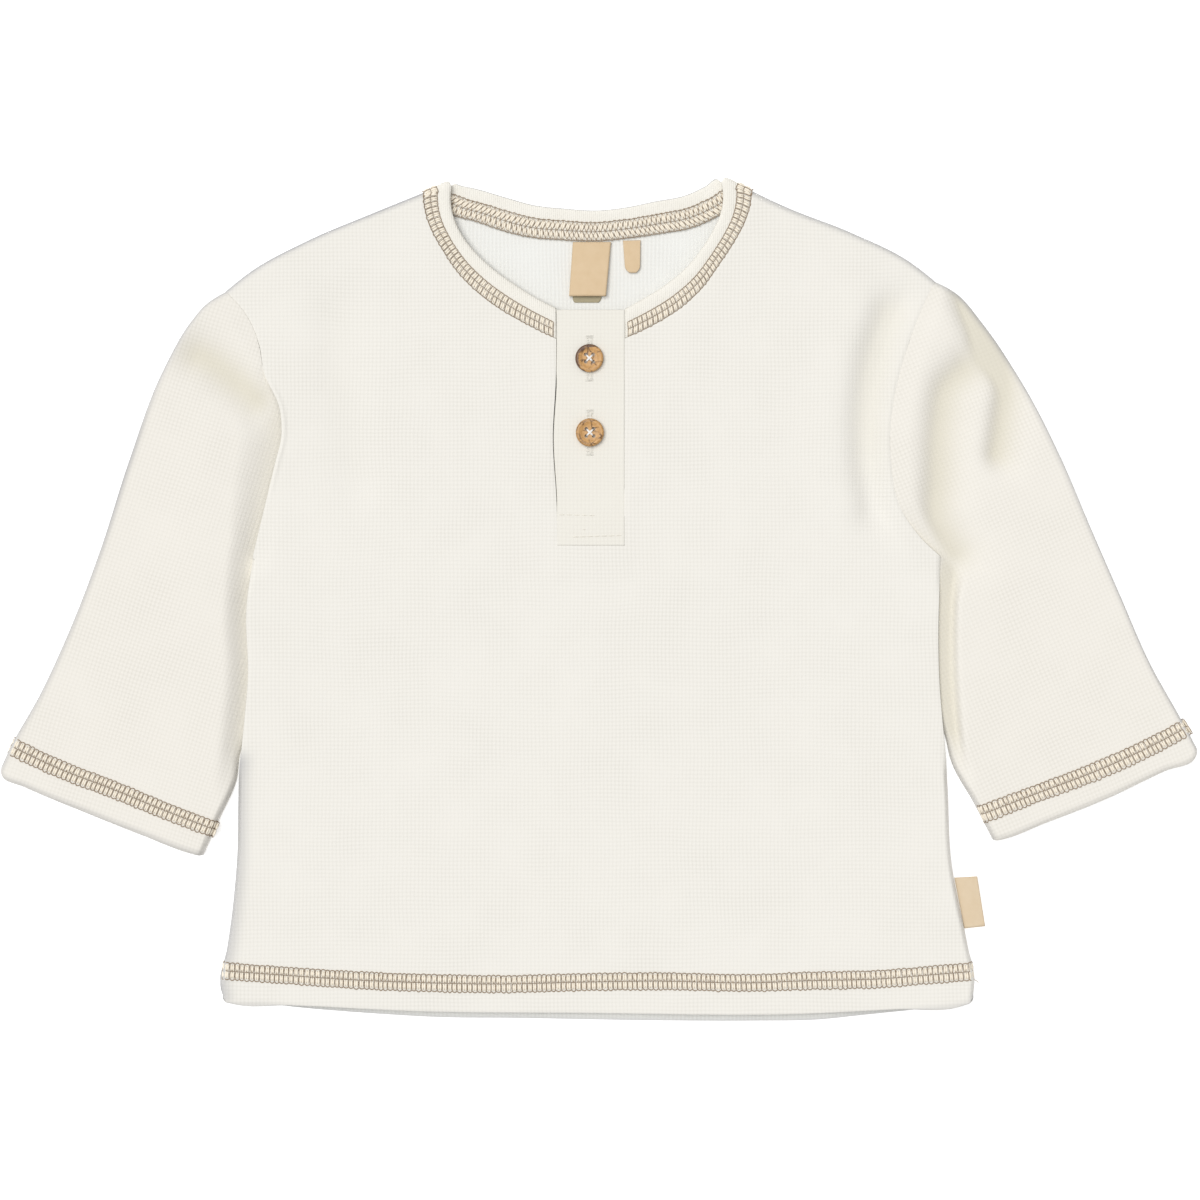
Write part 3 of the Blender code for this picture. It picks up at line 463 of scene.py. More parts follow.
def plain_knit(name, colour, shade, rib=0.75):
    """Fine single knit of the band: faint ribs and fuzz over a plain cream."""
    f = Finish(name)
    fuzz = f.add("TexNoise", {"Vector": f.where, "Scale": 1500.0, "Detail": 3.0})
    cloud = f.add("TexNoise", {"Vector": f.where, "Scale": 160.0, "Detail": 2.0})
    turned = f.add("Mapping", {"Vector": f.where, "Scale": (1 / (rib * METRE),) * 3})
    parts = f.add("SeparateXYZ", (turned,)).outputs
    phase = f.add("Math", (parts[0], math.tau), operation="MULTIPLY")
    ribs = f.add("Math", (phase,), operation="COSINE")
    hairs = f.add("Math", (fuzz.outputs["Fac"], 0.22), operation="MULTIPLY")
    low_ribs = f.add("Math", (ribs, 0.035), operation="MULTIPLY")
    relief = f.add("Math", (hairs, low_ribs), operation="ADD")
    bump = f.add("Bump", {"Strength": 1.0, "Distance": METRE, "Height": relief})
    mix = f.add("Mix", {0: cloud.outputs["Fac"], 6: srgb(colour), 7: srgb(shade)}, data_type="RGBA")
    f.fill(f.shader, {"Base Color": mix.outputs[2], "Normal": bump, **COTTON})
    return f.material


def thread(name, colour, shade):
    """Spun polyester sewing thread: twisted strands, a little soft shine."""
    f = Finish(name)
    twist = f.add("TexNoise", {"Vector": f.where, "Scale": 1800.0, "Detail": 2.0}).outputs["Fac"]
    mix = f.add("Mix", {0: twist, 6: srgb(colour), 7: srgb(shade)}, data_type="RGBA")
    bump = f.add("Bump", {"Strength": 0.6, "Distance": 0.2 * METRE, "Height": twist})
    f.fill(f.shader, {"Base Color": mix.outputs[2], "Normal": bump, "Roughness": 0.6})
    return f.material


def shell_wood(name, centre, bark):
    """Turned coconut wood: warm tan with fine dark cracks, its bark left dark on one side, low polish."""
    f = Finish(name)
    wander = f.add("TexNoise", {"Vector": f.where, "Scale": 420.0, "Detail": 3.0})
    swing = f.add("VectorMath", {0: wander.outputs["Color"], "Scale": 0.0016}, operation="SCALE")
    bent = f.add("VectorMath", (f.where, swing), operation="ADD")
    cracks = f.add("TexVoronoi", {"Vector": bent, "Scale": 300.0}, feature="DISTANCE_TO_EDGE")
    thin = f.add("MapRange", (cracks, 0.02, 0.10, 1.0, 0.0), interpolation_type="SMOOTHSTEP")
    broken = f.add("MapRange", (wander.outputs["Fac"], 0.42, 0.60, 0.0, 0.85))
    crack = f.add("Math", (thin, broken), operation="MULTIPLY")
    grain = f.add("TexNoise", {"Vector": bent, "Scale": 1300.0, "Detail": 4.0}).outputs["Fac"]
    tan = f.add("Mix", {0: grain, 6: srgb("#9c7040"), 7: srgb("#e0b070")}, data_type="RGBA")
    streaked = f.add("Mix", {0: crack, 6: tan.outputs[2], 7: srgb("#4a2d1c")}, data_type="RGBA")
    # The bark is left outside a circle that stands off the button's centre.
    parts = f.add("SeparateXYZ", (f.where,)).outputs
    squares = []
    for part, middle in zip(parts, (centre[0] + 1.5, centre[1] - 0.6)):
        step = f.add("Math", (part, middle * METRE), operation="SUBTRACT")
        squares.append(f.add("Math", (step, step), operation="MULTIPLY"))
    added = f.add("Math", squares, operation="ADD")
    out = f.add("Math", (added,), operation="SQRT")
    centred = f.add("Math", (wander.outputs["Fac"], 0.5), operation="SUBTRACT")
    ragged = f.add("Math", (centred, 0.0030, out), operation="MULTIPLY_ADD")
    rim = f.add("MapRange", (ragged, 0.0049, 0.0056, 0.0, bark))
    mix = f.add("Mix", {0: rim, 6: streaked.outputs[2], 7: srgb("#4e3226")}, data_type="RGBA")
    relief = f.add("Math", (grain, crack), operation="SUBTRACT")
    bump = f.add("Bump", {"Strength": 0.4, "Distance": 0.2 * METRE, "Height": relief})
    f.fill(f.shader, {"Base Color": mix.outputs[2], "Normal": bump, "Roughness": 0.45, "IOR": 1.5})
    return f.material


def label_tape(name, colour, shade, yarn=0.35):
    """Woven satin tape: fine cross threads and a soft sheen."""
    f = Finish(name)
    turned = f.add("Mapping", {"Vector": f.where, "Scale": (1 / (yarn * METRE),) * 3})
    parts = f.add("SeparateXYZ", (turned,)).outputs
    phase = f.add("Math", (parts[1], math.tau), operation="MULTIPLY")
    weave = f.add("Math", (phase,), operation="COSINE")
    cloud = f.add("TexNoise", {"Vector": f.where, "Scale": 300.0, "Detail": 2.0})
    bump = f.add("Bump", {"Strength": 0.5, "Distance": 0.06 * METRE, "Height": weave})
    mix = f.add("Mix", {0: cloud.outputs["Fac"], 6: srgb(colour), 7: srgb(shade)}, data_type="RGBA")
    f.fill(f.shader, {"Base Color": mix.outputs[2], "Normal": bump, "Roughness": 0.55})
    return f.material


body_knit = waffle("cream_waffle_body", "#e8e5de", "#dcd9d1", 0.0)
left_knit = waffle("cream_waffle_sleeve_left", "#e8e4dc", "#dcd8cf", 18.0)
right_knit = waffle("cream_waffle_sleeve_right", "#e8e4dc", "#dcd8cf", -23.0)
inner_knit = waffle("cream_waffle_inside", "#e9e9e5", "#e0dfda", 0.0, depth=0.06, inside=True)
placket_knit = waffle("cream_waffle_placket", "#e6e3da", "#dedad1", 0.0, depth=0.06)
band_knit = plain_knit("cream_band_knit", "#edeae2", "#e6e2d8")
# A grey knit painted on as shade along the back band's turned top edge.
painted_edge_shade_knit = plain_knit("cream_knit_painted_edge_shade", "#a5a5a7", "#9a9a9d")
brown_thread = thread("brown_thread", "#a38f78", "#8b7862")
pale_thread = thread("pale_thread", "#f2e9d9", "#e9dfcc")
cream_thread = thread("cream_thread", "#ebe7dd", "#dcd7cb")
white_thread = thread("white_thread", "#f6f4f0", "#e4e1db")
grey_thread = thread("buttonhole_thread", "#e8e5dd", "#d8d5cc")
tape = label_tape("tan_tape", "#dcc3a0", "#d2b790")
# The label's back leaf is painted darker, as painted shadow under its front leaf.
painted_shadow_tape = label_tape("tan_tape_back_painted_shadow", "#aba184", "#9c9377")
side_tape = label_tape("pale_tan_tape", "#ddcaae", "#d3bd9c")


# ---------------------------------------------------------------- meshes

def mesh_object(name, points, faces, materials, which=None, **shades):
    """A smooth-shaded mesh from points in millimetres and an array of four-cornered faces."""
    mesh = bpy.data.meshes.new(name)
    points = np.asarray(points, np.float64) * METRE
    faces = np.asarray(faces, np.int32)
    mesh.vertices.add(len(points))
    mesh.vertices.foreach_set("co", points.astype(np.float32).ravel())
    sides = faces.shape[1]
    mesh.loops.add(faces.size)
    mesh.loops.foreach_set("vertex_index", faces.ravel())
    mesh.polygons.add(len(faces))
    mesh.polygons.foreach_set("loop_start", np.arange(0, faces.size, sides, dtype=np.int32))
    for material in materials:
        mesh.materials.append(material)
    if which is not None:
        mesh.polygons.foreach_set("material_index", np.asarray(which, np.int32))
    mesh.update(calc_edges=True)
    mesh.validate()
    for key, values in shades.items():
        mesh.attributes.new(key, "FLOAT", "POINT").data.foreach_set("value", values.astype(np.float32))
    mesh.polygons.foreach_set("use_smooth", np.ones(len(mesh.polygons), bool))
    made = bpy.data.objects.new(name, mesh)
    bpy.context.scene.collection.objects.link(made)
    return made


def wall(name, flat, faces, over, under, materials, sewn=(), crease=None):
    """A closed sheet between two heights, with rounded edges. Sewn edges are nearly square."""
    count = len(flat)
    round_by = np.full(count, RIM)
    for line in sewn:
        round_by[away(flat, line)[0] < 0.02] = SEWN_RIM
    edges = np.vstack([faces[:, [0, 1]], faces[:, [1, 2]], faces[:, [2, 3]], faces[:, [3, 0]]])
    code = edges[:, 0] * count + edges[:, 1]
    back = edges[:, 1] * count + edges[:, 0]
    rim = edges[~np.isin(code, back)]
    out = np.zeros((count, 2))
    step = flat[rim[:, 1]] - flat[rim[:, 0]]
    sides = np.column_stack([step[:, 1], -step[:, 0]])
    sides /= np.linalg.norm(sides, axis=1)[:, None] + 1e-12
    np.add.at(out, rim[:, 0], sides)
    np.add.at(out, rim[:, 1], sides)
    length = np.linalg.norm(out, axis=1)
    on_rim = length > 1e-9
    out[on_rim] /= length[on_rim][:, None]
    drawn_in = flat - out * round_by[:, None]
    ids = np.unique(rim)
    place = np.full(count, -1)
    place[ids] = np.arange(len(ids))
    layers = [np.column_stack([drawn_in, over]), np.column_stack([drawn_in, under])]
    a, b = rim[:, 0], rim[:, 1]
    rings = [(a, b)]
    small = round_by[ids]
    turns = np.radians([25, 55, 90, 90, 125, 155])
    for k, turn in enumerate(turns):
        base = 2 * count + k * len(ids)
        rings.append((base + place[a], base + place[b]))
        edge = flat[ids] + out[ids] * small[:, None] * (math.sin(turn) - 1)
        from_over, from_under = small * (1 - math.cos(turn)), small * (1 + math.cos(turn))
        layers.append(np.column_stack([edge, over[ids] - from_over if k < 3 else under[ids] + from_under]))
    rings.append((count + a, count + b))
    closed = [faces, count + faces[:, ::-1]]
    closed += [np.column_stack([b0, a0, a1, b1]) for (a0, b0), (a1, b1) in zip(rings, rings[1:])]
    which = np.zeros(len(faces) * 2 + (len(rings) - 1) * len(a))
    which[len(faces):2 * len(faces)] = 1
    # Painted shade along the outline and in the folds, on the top face and the rim; the underside gets none.
    shades = {"edge_shade": body_edge_shade(flat),
              "crease_shade": np.zeros(count) if crease is None else crease}
    for key, shade in shades.items():
        shades[key] = np.concatenate([shade, 0 * shade] + [shade[ids]] * len(turns))
    return mesh_object(name, np.vstack(layers), np.vstack(closed), materials, which, **shades)


def edge_shade(points, lines, shades, reaches):
    """How much shade is painted into cloth near its outline, from each line's shade and reach."""
    far = np.array([away(points, line)[0] for line in lines])
    near = np.clip(1.0 - far / np.array(reaches)[:, None], 0.0, 1.0) ** 2
    return near * np.array(shades)[:, None]


def body_edge_shade(points):
    """The shade painted along the body's outline, 0 where a sleeve is tucked under it."""
    shade = edge_shade(points, outline, *PAINTED_BODY_EDGE_SHADE)
    shade[:2] *= ease((FREE_BELOW + 6.0 - points[:, 1]) / FREE_OVER)
    return shade.max(axis=0)


def tubes(lines, radius, sides=6, flat=1.0, start=0):
    """Points and faces of threads along many lines of the same number of points."""
    lines = np.asarray(lines, float)
    many, long = lines.shape[:2]
    radius = np.broadcast_to(np.asarray(radius, float), (many, long))
    ways = np.gradient(lines, axis=1)
    ways /= np.linalg.norm(ways, axis=2)[:, :, None] + 1e-9
    side = np.cross(ways, [0.0, 0.0, 1.0])
    side /= np.linalg.norm(side, axis=2)[:, :, None] + 1e-9
    rise = np.cross(side, ways)
    angles = np.linspace(0, math.tau, sides, endpoint=False)
    ring = (side[:, :, None] * np.cos(angles)[:, None] + flat * rise[:, :, None] * np.sin(angles)[:, None])
    points = lines[:, :, None] + ring * radius[:, :, None, None]
    names = start + np.arange(many * long * sides).reshape(many, long, sides)
    return points.reshape(-1, 3), cells(names, round_about=True)


def threads(name, groups, material):
    """One mesh from groups of (lines, radius, flatness)."""
    points, faces, start = [], [], 0
    for lines, radius, flat in groups:
        if len(lines) == 0:
            continue
        more, sides = tubes(lines, radius, flat=flat, start=start)
        points.append(more)
        faces.append(sides)
        start += len(more)
    return mesh_object(name, np.vstack(points), np.vstack(faces), [material])


# ---------------------------------------------------------------- panels

arm_rows = finer(ARM_SHARES, 84)
side_rows = finer(SIDE_SHARES, 110)
columns = finer(ACROSS_SHARES, 84)
arm_left = smooth(ARM_LEFT, arm_rows)
arm_right = smooth(ARM_RIGHT, arm_rows)
side_left = smooth(SIDE_LEFT, side_rows)
side_right = smooth(SIDE_RIGHT, side_rows)
arm_coarse = {"left": evenly(ARM_LEFT, 40), "right": evenly(ARM_RIGHT, 40)}
side_coarse = {"left": evenly(SIDE_LEFT, 30), "right": evenly(SIDE_RIGHT, 30)}
shoulder_coarse = {"left": evenly(SHOULDER_LEFT, 24), "right": evenly(SHOULDER_RIGHT, 24)}
hem_front = evenly(HEM_FRONT, 80)
hem_back = evenly(HEM_BACK, 80)
neck_out_left = [row[2:] for row in NECK_LEFT] + [SHOULDER_LEFT[-1]]
neck_out_right = [row[2:] for row in NECK_RIGHT] + [SHOULDER_RIGHT[-1]]
neck_out_back = [BACK_CORNERS[0]] + [row[2:] for row in NECK_BACK] + [BACK_CORNERS[1]]


def side_lift(points):
    """How far the body is lifted near its sides by the tucked sleeves."""
    total = 0.0
    for side, rows in (("left", TUCK_LEFT), ("right", TUCK_RIGHT)):
        far = away(points, side_coarse[side])[0]
        total += table(rows, points[:, 1]) * (1 - ease((far - TUCK_REACH) / TUCK_FADE))
    return total


def hem_share(points, hem):
    """1 where the hem is turned up, 0 above it."""
    return 1 - ease(away(points, hem)[0] - HEM_DEPTH)


def back_top(points):
    """Height of the back's inner face."""
    return side_lift(points) + CLOTH + (HEM_CLOTH - CLOTH) * hem_share(points, hem_back)


def placket_end(points):
    """The placket's hidden end, sewn down behind the front, shows as a faint raised patch."""
    left, foot, right, head = PLACKET_PATCH
    inside = np.minimum(np.minimum(points[:, 0] - left, right - points[:, 0]),
                        np.minimum(points[:, 1] - foot, head - points[:, 1]))
    return PLACKET_END * ease(inside / 0.9 + 0.5)


def dip(far, share):
    """The stitches draw the cloth in along an armhole seam, and less at the seam's two ends."""
    return SEAM_DIP * np.exp(-(far / 0.7) ** 2) * np.exp(-((share - 0.5) / 0.45) ** 6)


def front_heights(points):
    """Top and underside of the front panel over these points."""
    thick = CLOTH + (HEM_CLOTH - CLOTH) * hem_share(points, hem_front)
    turned = np.array([away(points, edge)[0] for edge in outline[:4]])
    # The two panels are sewn together at the shoulders.
    floor = back_top(points) + GAP * (0.05 + 0.95 * ease((turned[2:].min(axis=0) - 0.6) / 4.0))
    low = floor + thick
    top = np.maximum(BODY_RISE + folds(points, BODY_FOLDS) + placket_end(points), low + 0.05)
    for side, rows, ridge in (("left", SEAM_LEFT, RIDGE_LEFT), ("right", SEAM_RIGHT, RIDGE_RIGHT)):
        far, share = away(points, arm_coarse[side])
        at_seam = np.maximum(table(rows, share), low)
        top = at_seam + (top - at_seam) * ease(far / 9.0)
        top = top + table(ridge, share) * np.exp(-((far - 0.9) / 0.9) ** 2)
        top = top - dip(far, share)
    top = low + (top - low) * roll(turned.min(axis=0), EDGE_ROUND)
    foot = side_lift(points) + thick + 0.1
    free = ease((FREE_BELOW - points[:, 1]) / FREE_OVER)
    top = top - free * (top - foot) * (1 - roll(turned[:2].min(axis=0), SIDE_TURN))
    return top, top - thick


def front_top(points):
    """Height of the front's outer face."""
    return front_heights(np.asarray(points, float))[0]


def slit_bow(y):
    """How far the slit's left edge bows out between the buttons and its foot."""
    swing = np.exp(-((y - SLIT_BOW_AT) / 17.0) ** 2)
    return -SLIT_BOW * swing * ease((y - SLIT_FOOT) / 12.0) * ease((100.0 - y) / 12.0)


split = int(round(SLIT_SHARE * (len(arm_rows) - 1)))
foot_left = np.array([SLIT_LEFT, SLIT_FOOT])
foot_right = np.array([SLIT_RIGHT, SLIT_FOOT])
across = columns[:, None]
level_left = (1 - across) * arm_left[0] + across * foot_left
level_right = (1 - across) * arm_right[0] + across * foot_right
neck_rows = np.linspace(0, 1, len(arm_rows) - split)
left_neck = smooth(neck_out_left, neck_rows)
right_neck = smooth(neck_out_right, neck_rows)
slit_rows = np.linspace(0, 1, split + 1)[:, None]
slit_left = np.vstack([foot_left + slit_rows * (left_neck[0] - foot_left), left_neck[1:]])
slit_left[:, 0] += slit_bow(slit_left[:, 1])
slit_right = np.vstack([foot_right + slit_rows * (right_neck[0] - foot_right), right_neck[1:]])
between = foot_left + np.linspace(0, 1, 18)[1:-1, None] * (foot_right - foot_left)
level = np.vstack([level_left, between, level_right[::-1]])
hem_shares = (level[:, 0] - level[0, 0]) / (level[-1, 0] - level[0, 0])
lower = grid(smooth(HEM_FRONT, hem_shares), level, side_left, side_right)
upper_left = grid(level_left, smooth(SHOULDER_LEFT, columns), arm_left, slit_left)
upper_right = grid(level_right[::-1], smooth(SHOULDER_RIGHT, columns)[::-1], slit_right, arm_right)
outline = (*side_coarse.values(), *shoulder_coarse.values(), hem_front, hem_back)
flat, faces = sheet_of((lower, upper_left, upper_right))
over, under = front_heights(flat)
# Shade is painted into the body's folds, most where they are deepest.
depth = np.clip(-folds(flat, BODY_FOLDS) / 3.0, 0.0, 1.0)
front = wall("front_waffle_panel", flat, faces, over, under, [body_knit, inner_knit],
             sewn=(arm_left, arm_right, slit_left, slit_right, np.array([foot_left, foot_right]),
                   smooth(SHOULDER_LEFT, columns), smooth(SHOULDER_RIGHT, columns)),
             crease=PAINTED_CREASE_STRENGTH["body"][1] * depth ** 2 * ease((flat[:, 1] - 34.0) / 32.0))
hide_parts("front_panel")

shoulder_rows = finer((0.0, 0.02, 0.06, 0.2, 0.38, 0.58, 0.8, 0.97), 30)
head = np.vstack([smooth(SHOULDER_LEFT, shoulder_rows), smooth(neck_out_back, np.linspace(0, 1, 60)),
                  smooth(SHOULDER_RIGHT, shoulder_rows)[::-1]])
head_shares = (head[:, 0] - head[0, 0]) / (head[-1, 0] - head[0, 0])
back_sides = []
for side_table, arm_table, way in ((SIDE_LEFT, ARM_LEFT, 1), (SIDE_RIGHT, ARM_RIGHT, -1)):
    line = smooth(side_table, finer(SIDE_SHARES, 50))
    drawn_in = BACK_INSET * ease((line[:, 1] - SIDE_LEFT[0][1]) / 10.0) * ease((14.0 - line[:, 1]) / 8.0)
    line[:, 0] += way * drawn_in
    back_sides.append(np.vstack([line, smooth(arm_table, finer(ARM_SHARES, 50))[1:]]))
flat, faces = sheet_of((grid(smooth(HEM_BACK, head_shares), head, *back_sides),))
back = wall("back_waffle_panel", flat, faces, back_top(flat), side_lift(flat), [inner_knit, body_knit],
            sewn=(smooth(SHOULDER_LEFT, shoulder_rows), smooth(SHOULDER_RIGHT, shoulder_rows)))
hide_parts("back_panel")


def trough(points, side, rows):
    """The trough beside the body: its height, the share of the rise out of it, and its lean."""
    inward = 1 if side == "left" else -1
    edge = np.vstack([side_coarse[side], arm_coarse[side][1:]])
    steps, along = lengths(edge)
    far, share = away(points, edge)
    level = np.interp(share, along / steps.sum(), edge[:, 1])
    under = (points[:, 1] < edge[len(side_coarse[side]) - 1, 1]) \
        & (inward * (points[:, 0] - np.interp(points[:, 1], edge[:, 1], edge[:, 0])) > 0)
    bottom = TROUGH_FLAT[side] * ease((20.0 - level) / 10.0)
    lean = TROUGH_LEAN[side] * ease((20.0 - level) / 10.0) * ease((level + 62.0) / 8.0)
    lean = lean * np.where(under, ease(1.0 - far / 1.2), np.clip(1.0 - far / (bottom + 0.001), 0.0, 1.0))
    far = np.where(under, 0.0, np.maximum(far - bottom, 0.0))
    return table(rows, level), ease(far / table(rows, level, 2)), lean


def sleeve_height(points, side, cuff_line, trough_rows, fold_rows):
    """Top of a sleeve, the thickness of its cloth and the shade painted into its creases over these points.
    """
    turned = 1 - ease(away(points, cuff_line)[0] - HEM_DEPTH)
    thick = CLOTH + (HEM_CLOTH - CLOTH) * turned
    rise = np.maximum(SLEEVE_RISE + folds(points, fold_rows), LEAST_RISE + 0.05)
    low, share, lean = trough(points, side, trough_rows)
    deepest = SLEEVE_RISE - LEAST_RISE
    # Painted shade: darker in the trough beside the body and in the folds.
    crease = np.maximum(PAINTED_CREASE_STRENGTH[side][0] * ((SLEEVE_RISE - low) / deepest * (1 - share)) ** 2,
                        PAINTED_CREASE_STRENGTH[side][1] * np.clip((SLEEVE_RISE - rise) / deepest, 0.0, 1.0) ** 2.3)
    rise = low + (rise - low) * share + lean * (1 - share)
    seam_far, seam_share = away(points, arm_coarse[side])
    rise = rise - dip(seam_far, seam_share)
    return np.maximum(rise, 2 * thick + GAP), thick, crease


def sleeve(name, side, arm_table, outer, inner, cuff, trough_rows, fold_rows, outward, node, material):
    """A flattened tube with its two ends open, from the armhole to the cuff."""
    around = finer(ARM_SHARES, 84)
    shares = 1 - around[::-1]
    lengthwise = finer(SLEEVE_SHARES, 110)
    seam = moved(smooth(arm_table, around)[::-1], outward * 0.004)
    end = smooth(cuff, shares)
    cuff_line = evenly(cuff, 40)
    plan = []
    for share, a, b in zip(lengthwise, smooth(outer, lengthwise), smooth(inner, lengthwise ** INNER_LAG)):
        blend = ease(share / STRAIGHT_BY)
        plan.append((1 - blend) * fitted(seam, a, b) + blend * fitted(end, a, b))
    plan[0] = seam
    plan = np.array(plan)
    rows, count = plan.shape[:2]
    steps = np.linalg.norm(np.diff(plan, axis=1), axis=2)
    along = np.concatenate([np.zeros((rows, 1)), np.cumsum(steps, axis=1)], axis=1)
    wide = along[:, -1:]
    found = sleeve_height(plan.reshape(-1, 2), side, cuff_line, trough_rows, fold_rows)
    rise, thick, crease = (values.reshape(rows, count) for values in found)
    inset = CLOTH + along * (wide - 2 * CLOTH) / wide
    skin_values = np.dstack([plan, rise, thick])
    lining_values = np.array([[np.interp(inset[i], along[i], skin_values[i, :, k]) for k in range(4)]
                              for i in range(rows)])
    inner_plan = lining_values[:, :2].transpose(0, 2, 1)
    inner_rise, inner_thick = lining_values[:, 2], lining_values[:, 3]
    middle = LEAST_RISE / 2
    from_underarm = np.linalg.norm(plan - np.array(arm_table[0]), axis=2)
    sewn_on = EDGE_ROUND * (1 - ease((from_underarm - 8.0) / 12.0))
    turn = roll(np.minimum(along, wide - along + sewn_on), EDGE_ROUND)
    top = np.dstack([plan, middle + (rise - middle) * turn])
    low = np.dstack([plan, middle - middle * turn])
    turn = roll(np.minimum(inset, wide - inset) - CLOTH, EDGE_ROUND - CLOTH)
    half = inner_rise / 2
    inner_top = np.dstack([inner_plan, half + (half - inner_thick) * turn])
    inner_low = np.dstack([inner_plan, half - (half - inner_thick) * turn])
    skin = np.concatenate([top, low[:, -2:0:-1]], axis=1)
    lining = np.concatenate([inner_top, inner_low[:, -2:0:-1]], axis=1)
    middle_start = (skin[0] + lining[0]) / 2
    middle_end = (skin[-1] + lining[-1]) / 2
    step = skin[-1] - skin[-2]
    middle_end[:, :2] += 0.4 * (step / (np.linalg.norm(step, axis=1)[:, None] + 1e-9))[:, :2]
    points = np.vstack([skin.reshape(-1, 3), lining.reshape(-1, 3), middle_start, middle_end])
    around_count = skin.shape[1]
    total = rows * around_count
    names = np.arange(total).reshape(rows, around_count)
    outer_faces = cells(names, round_about=True)
    inner_faces = total + outer_faces[:, ::-1]
    caps = []
    here = 2 * total + np.arange(around_count)
    there = here + around_count
    for ring, index, flip in ((here, 0, False), (there, rows - 1, True)):
        edge = names[index]
        ring_next, edge_next = np.roll(ring, -1), np.roll(edge, -1)
        one = np.column_stack([edge, ring, ring_next, edge_next])
        two = np.column_stack([ring, total + edge, total + edge_next, ring_next])
        caps += [face[:, ::-1] if flip else face for face in (one, two)]
    faces = np.vstack([outer_faces, inner_faces] + caps)
    if outward > 0:
        faces = faces[:, ::-1]
    which = np.zeros(len(faces))
    which[len(outer_faces):2 * len(outer_faces)] = 1
    # Painted shade along the sleeve's outer fold, its inner edge and its cuff.
    lines = (evenly(outer, 60), evenly(inner, 60), cuff_line)
    shade = edge_shade(plan.reshape(-1, 2), lines, *PAINTED_SLEEVE_EDGE_SHADE[side]).max(axis=0).reshape(rows, count)
    shade = np.concatenate([shade, shade[:, -2:0:-1]], axis=1)
    edges = np.concatenate([shade.reshape(-1), np.zeros(total + around_count), shade[-1]])
    # The painted crease shade goes on the outer skin only; the lining and the caps get none.
    painted_fold_shades = np.zeros((len(points) // around_count, around_count))
    painted_fold_shades[:rows, :count] = crease
    made = mesh_object(name, points, faces, [material, inner_knit], which,
                       crease_shade=painted_fold_shades.reshape(-1), edge_shade=edges)
    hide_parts(node)

    def top_at(points):
        points = np.asarray(points, float)
        height = sleeve_height(points, side, cuff_line, trough_rows, fold_rows)[0]
        edge = np.minimum(away(points, lines[0])[0], away(points, lines[1])[0])
        return middle + (height - middle) * roll(edge, EDGE_ROUND)

    return made, top_at


left_sleeve, left_top = sleeve(
    "left_waffle_sleeve", "left", ARM_LEFT, OUTER_LEFT, INNER_LEFT, CUFF_LEFT, TROUGH_LEFT, LEFT_FOLDS,
    1, "sleeve_left", left_knit)
right_sleeve, right_top = sleeve(
    "right_waffle_sleeve", "right", ARM_RIGHT, OUTER_RIGHT, INNER_RIGHT, CUFF_RIGHT, TROUGH_RIGHT,
    RIGHT_FOLDS, -1, "sleeve_right", right_knit)

# ---------------------------------------------------------------- neck band

BAND_SECTION = ((0.0, 0.0), (0.02, 0.5), (0.07, 0.85), (0.14, 1.0), (0.3, 1.06), (0.44, 0.9), (0.5, 0.8),
                (0.95, 0.8), (1.0, 0.6), (1.0, -0.6), (0.95, -1.0), (0.14, -1.0), (0.07, -0.85), (0.02, -0.5))
bend = (BAND_FRONT_MID - BAND_BACK_MID) / 2
middle_height = (BAND_FRONT_MID + BAND_BACK_MID) / 2


def folded_over(fold, turns):
    """Sections of the band where it turns over a shoulder."""
    return [(fold[:2], fold[2:4], middle_height + bend * math.cos(t), fold[4:], t) for t in turns]


def band_stations():
    """Opening point, outer point, height, way out and turn of each section of the band."""
    many, back_many = int(60 * FINE), int(90 * FINE)
    left = evenly([row[:2] for row in NECK_LEFT] + [FOLD_LEFT[:2]], many)
    left_out = moved(evenly(neck_out_left, many), GAP * 0.3)
    right = evenly([row[:2] for row in NECK_RIGHT] + [FOLD_RIGHT[:2]], many)
    right_out = moved(evenly(neck_out_right, many), -GAP * 0.3)
    back_in = evenly([FOLD_LEFT[:2]] + [row[:2] for row in NECK_BACK] + [FOLD_RIGHT[:2]], back_many)
    back_out = moved(evenly(neck_out_back, back_many), -GAP * 0.3)
    turns = np.linspace(0, math.pi, 13)
    rows = [(a, b, BAND_FRONT_MID, (0, 0), 0.0) for a, b in zip(left[:-1], left_out[:-1])]
    rows += folded_over(FOLD_LEFT, turns)
    rows += [(a, b, BAND_BACK_MID, (0, 0), math.pi) for a, b in zip(back_in[1:-1], back_out[1:-1])]
    rows += folded_over(FOLD_RIGHT, turns[::-1])
    rows += [(a, b, BAND_FRONT_MID, (0, 0), 0.0) for a, b in zip(right[-2::-1], right_out[-2::-1])]
    return rows


def band_point(station, share, lift):
    """A point on the band: share from the opening to the stitched edge, lift in half thicknesses."""
    opening, outer, height, out, turn = station
    opening, outer, out = (np.array(p, float) for p in (opening, outer, out))
    normal = np.append(out * math.sin(turn), math.cos(turn))
    flat_point = opening + share * (outer - opening) + out * bend * math.sin(turn)
    return np.append(flat_point, height) + normal * lift * BAND_THICK / 2


stations = band_stations()
rings = np.array([[band_point(s, share, lift) for share, lift in BAND_SECTION] for s in stations])
count = len(BAND_SECTION)
names = np.arange(len(stations) * count).reshape(len(stations), count)
faces = cells(names, round_about=True)[:, [0, 3, 2, 1]]
ends = []
for index, order in ((0, (0, 1)), (len(stations) - 1, (1, 0))):
    ring = names[index]
    for k in range(count // 2 - 1):
        quad = [ring[k], ring[k + 1], ring[count - 2 - k], ring[count - 1 - k]]
        ends.append(quad if index == 0 else quad[::-1])
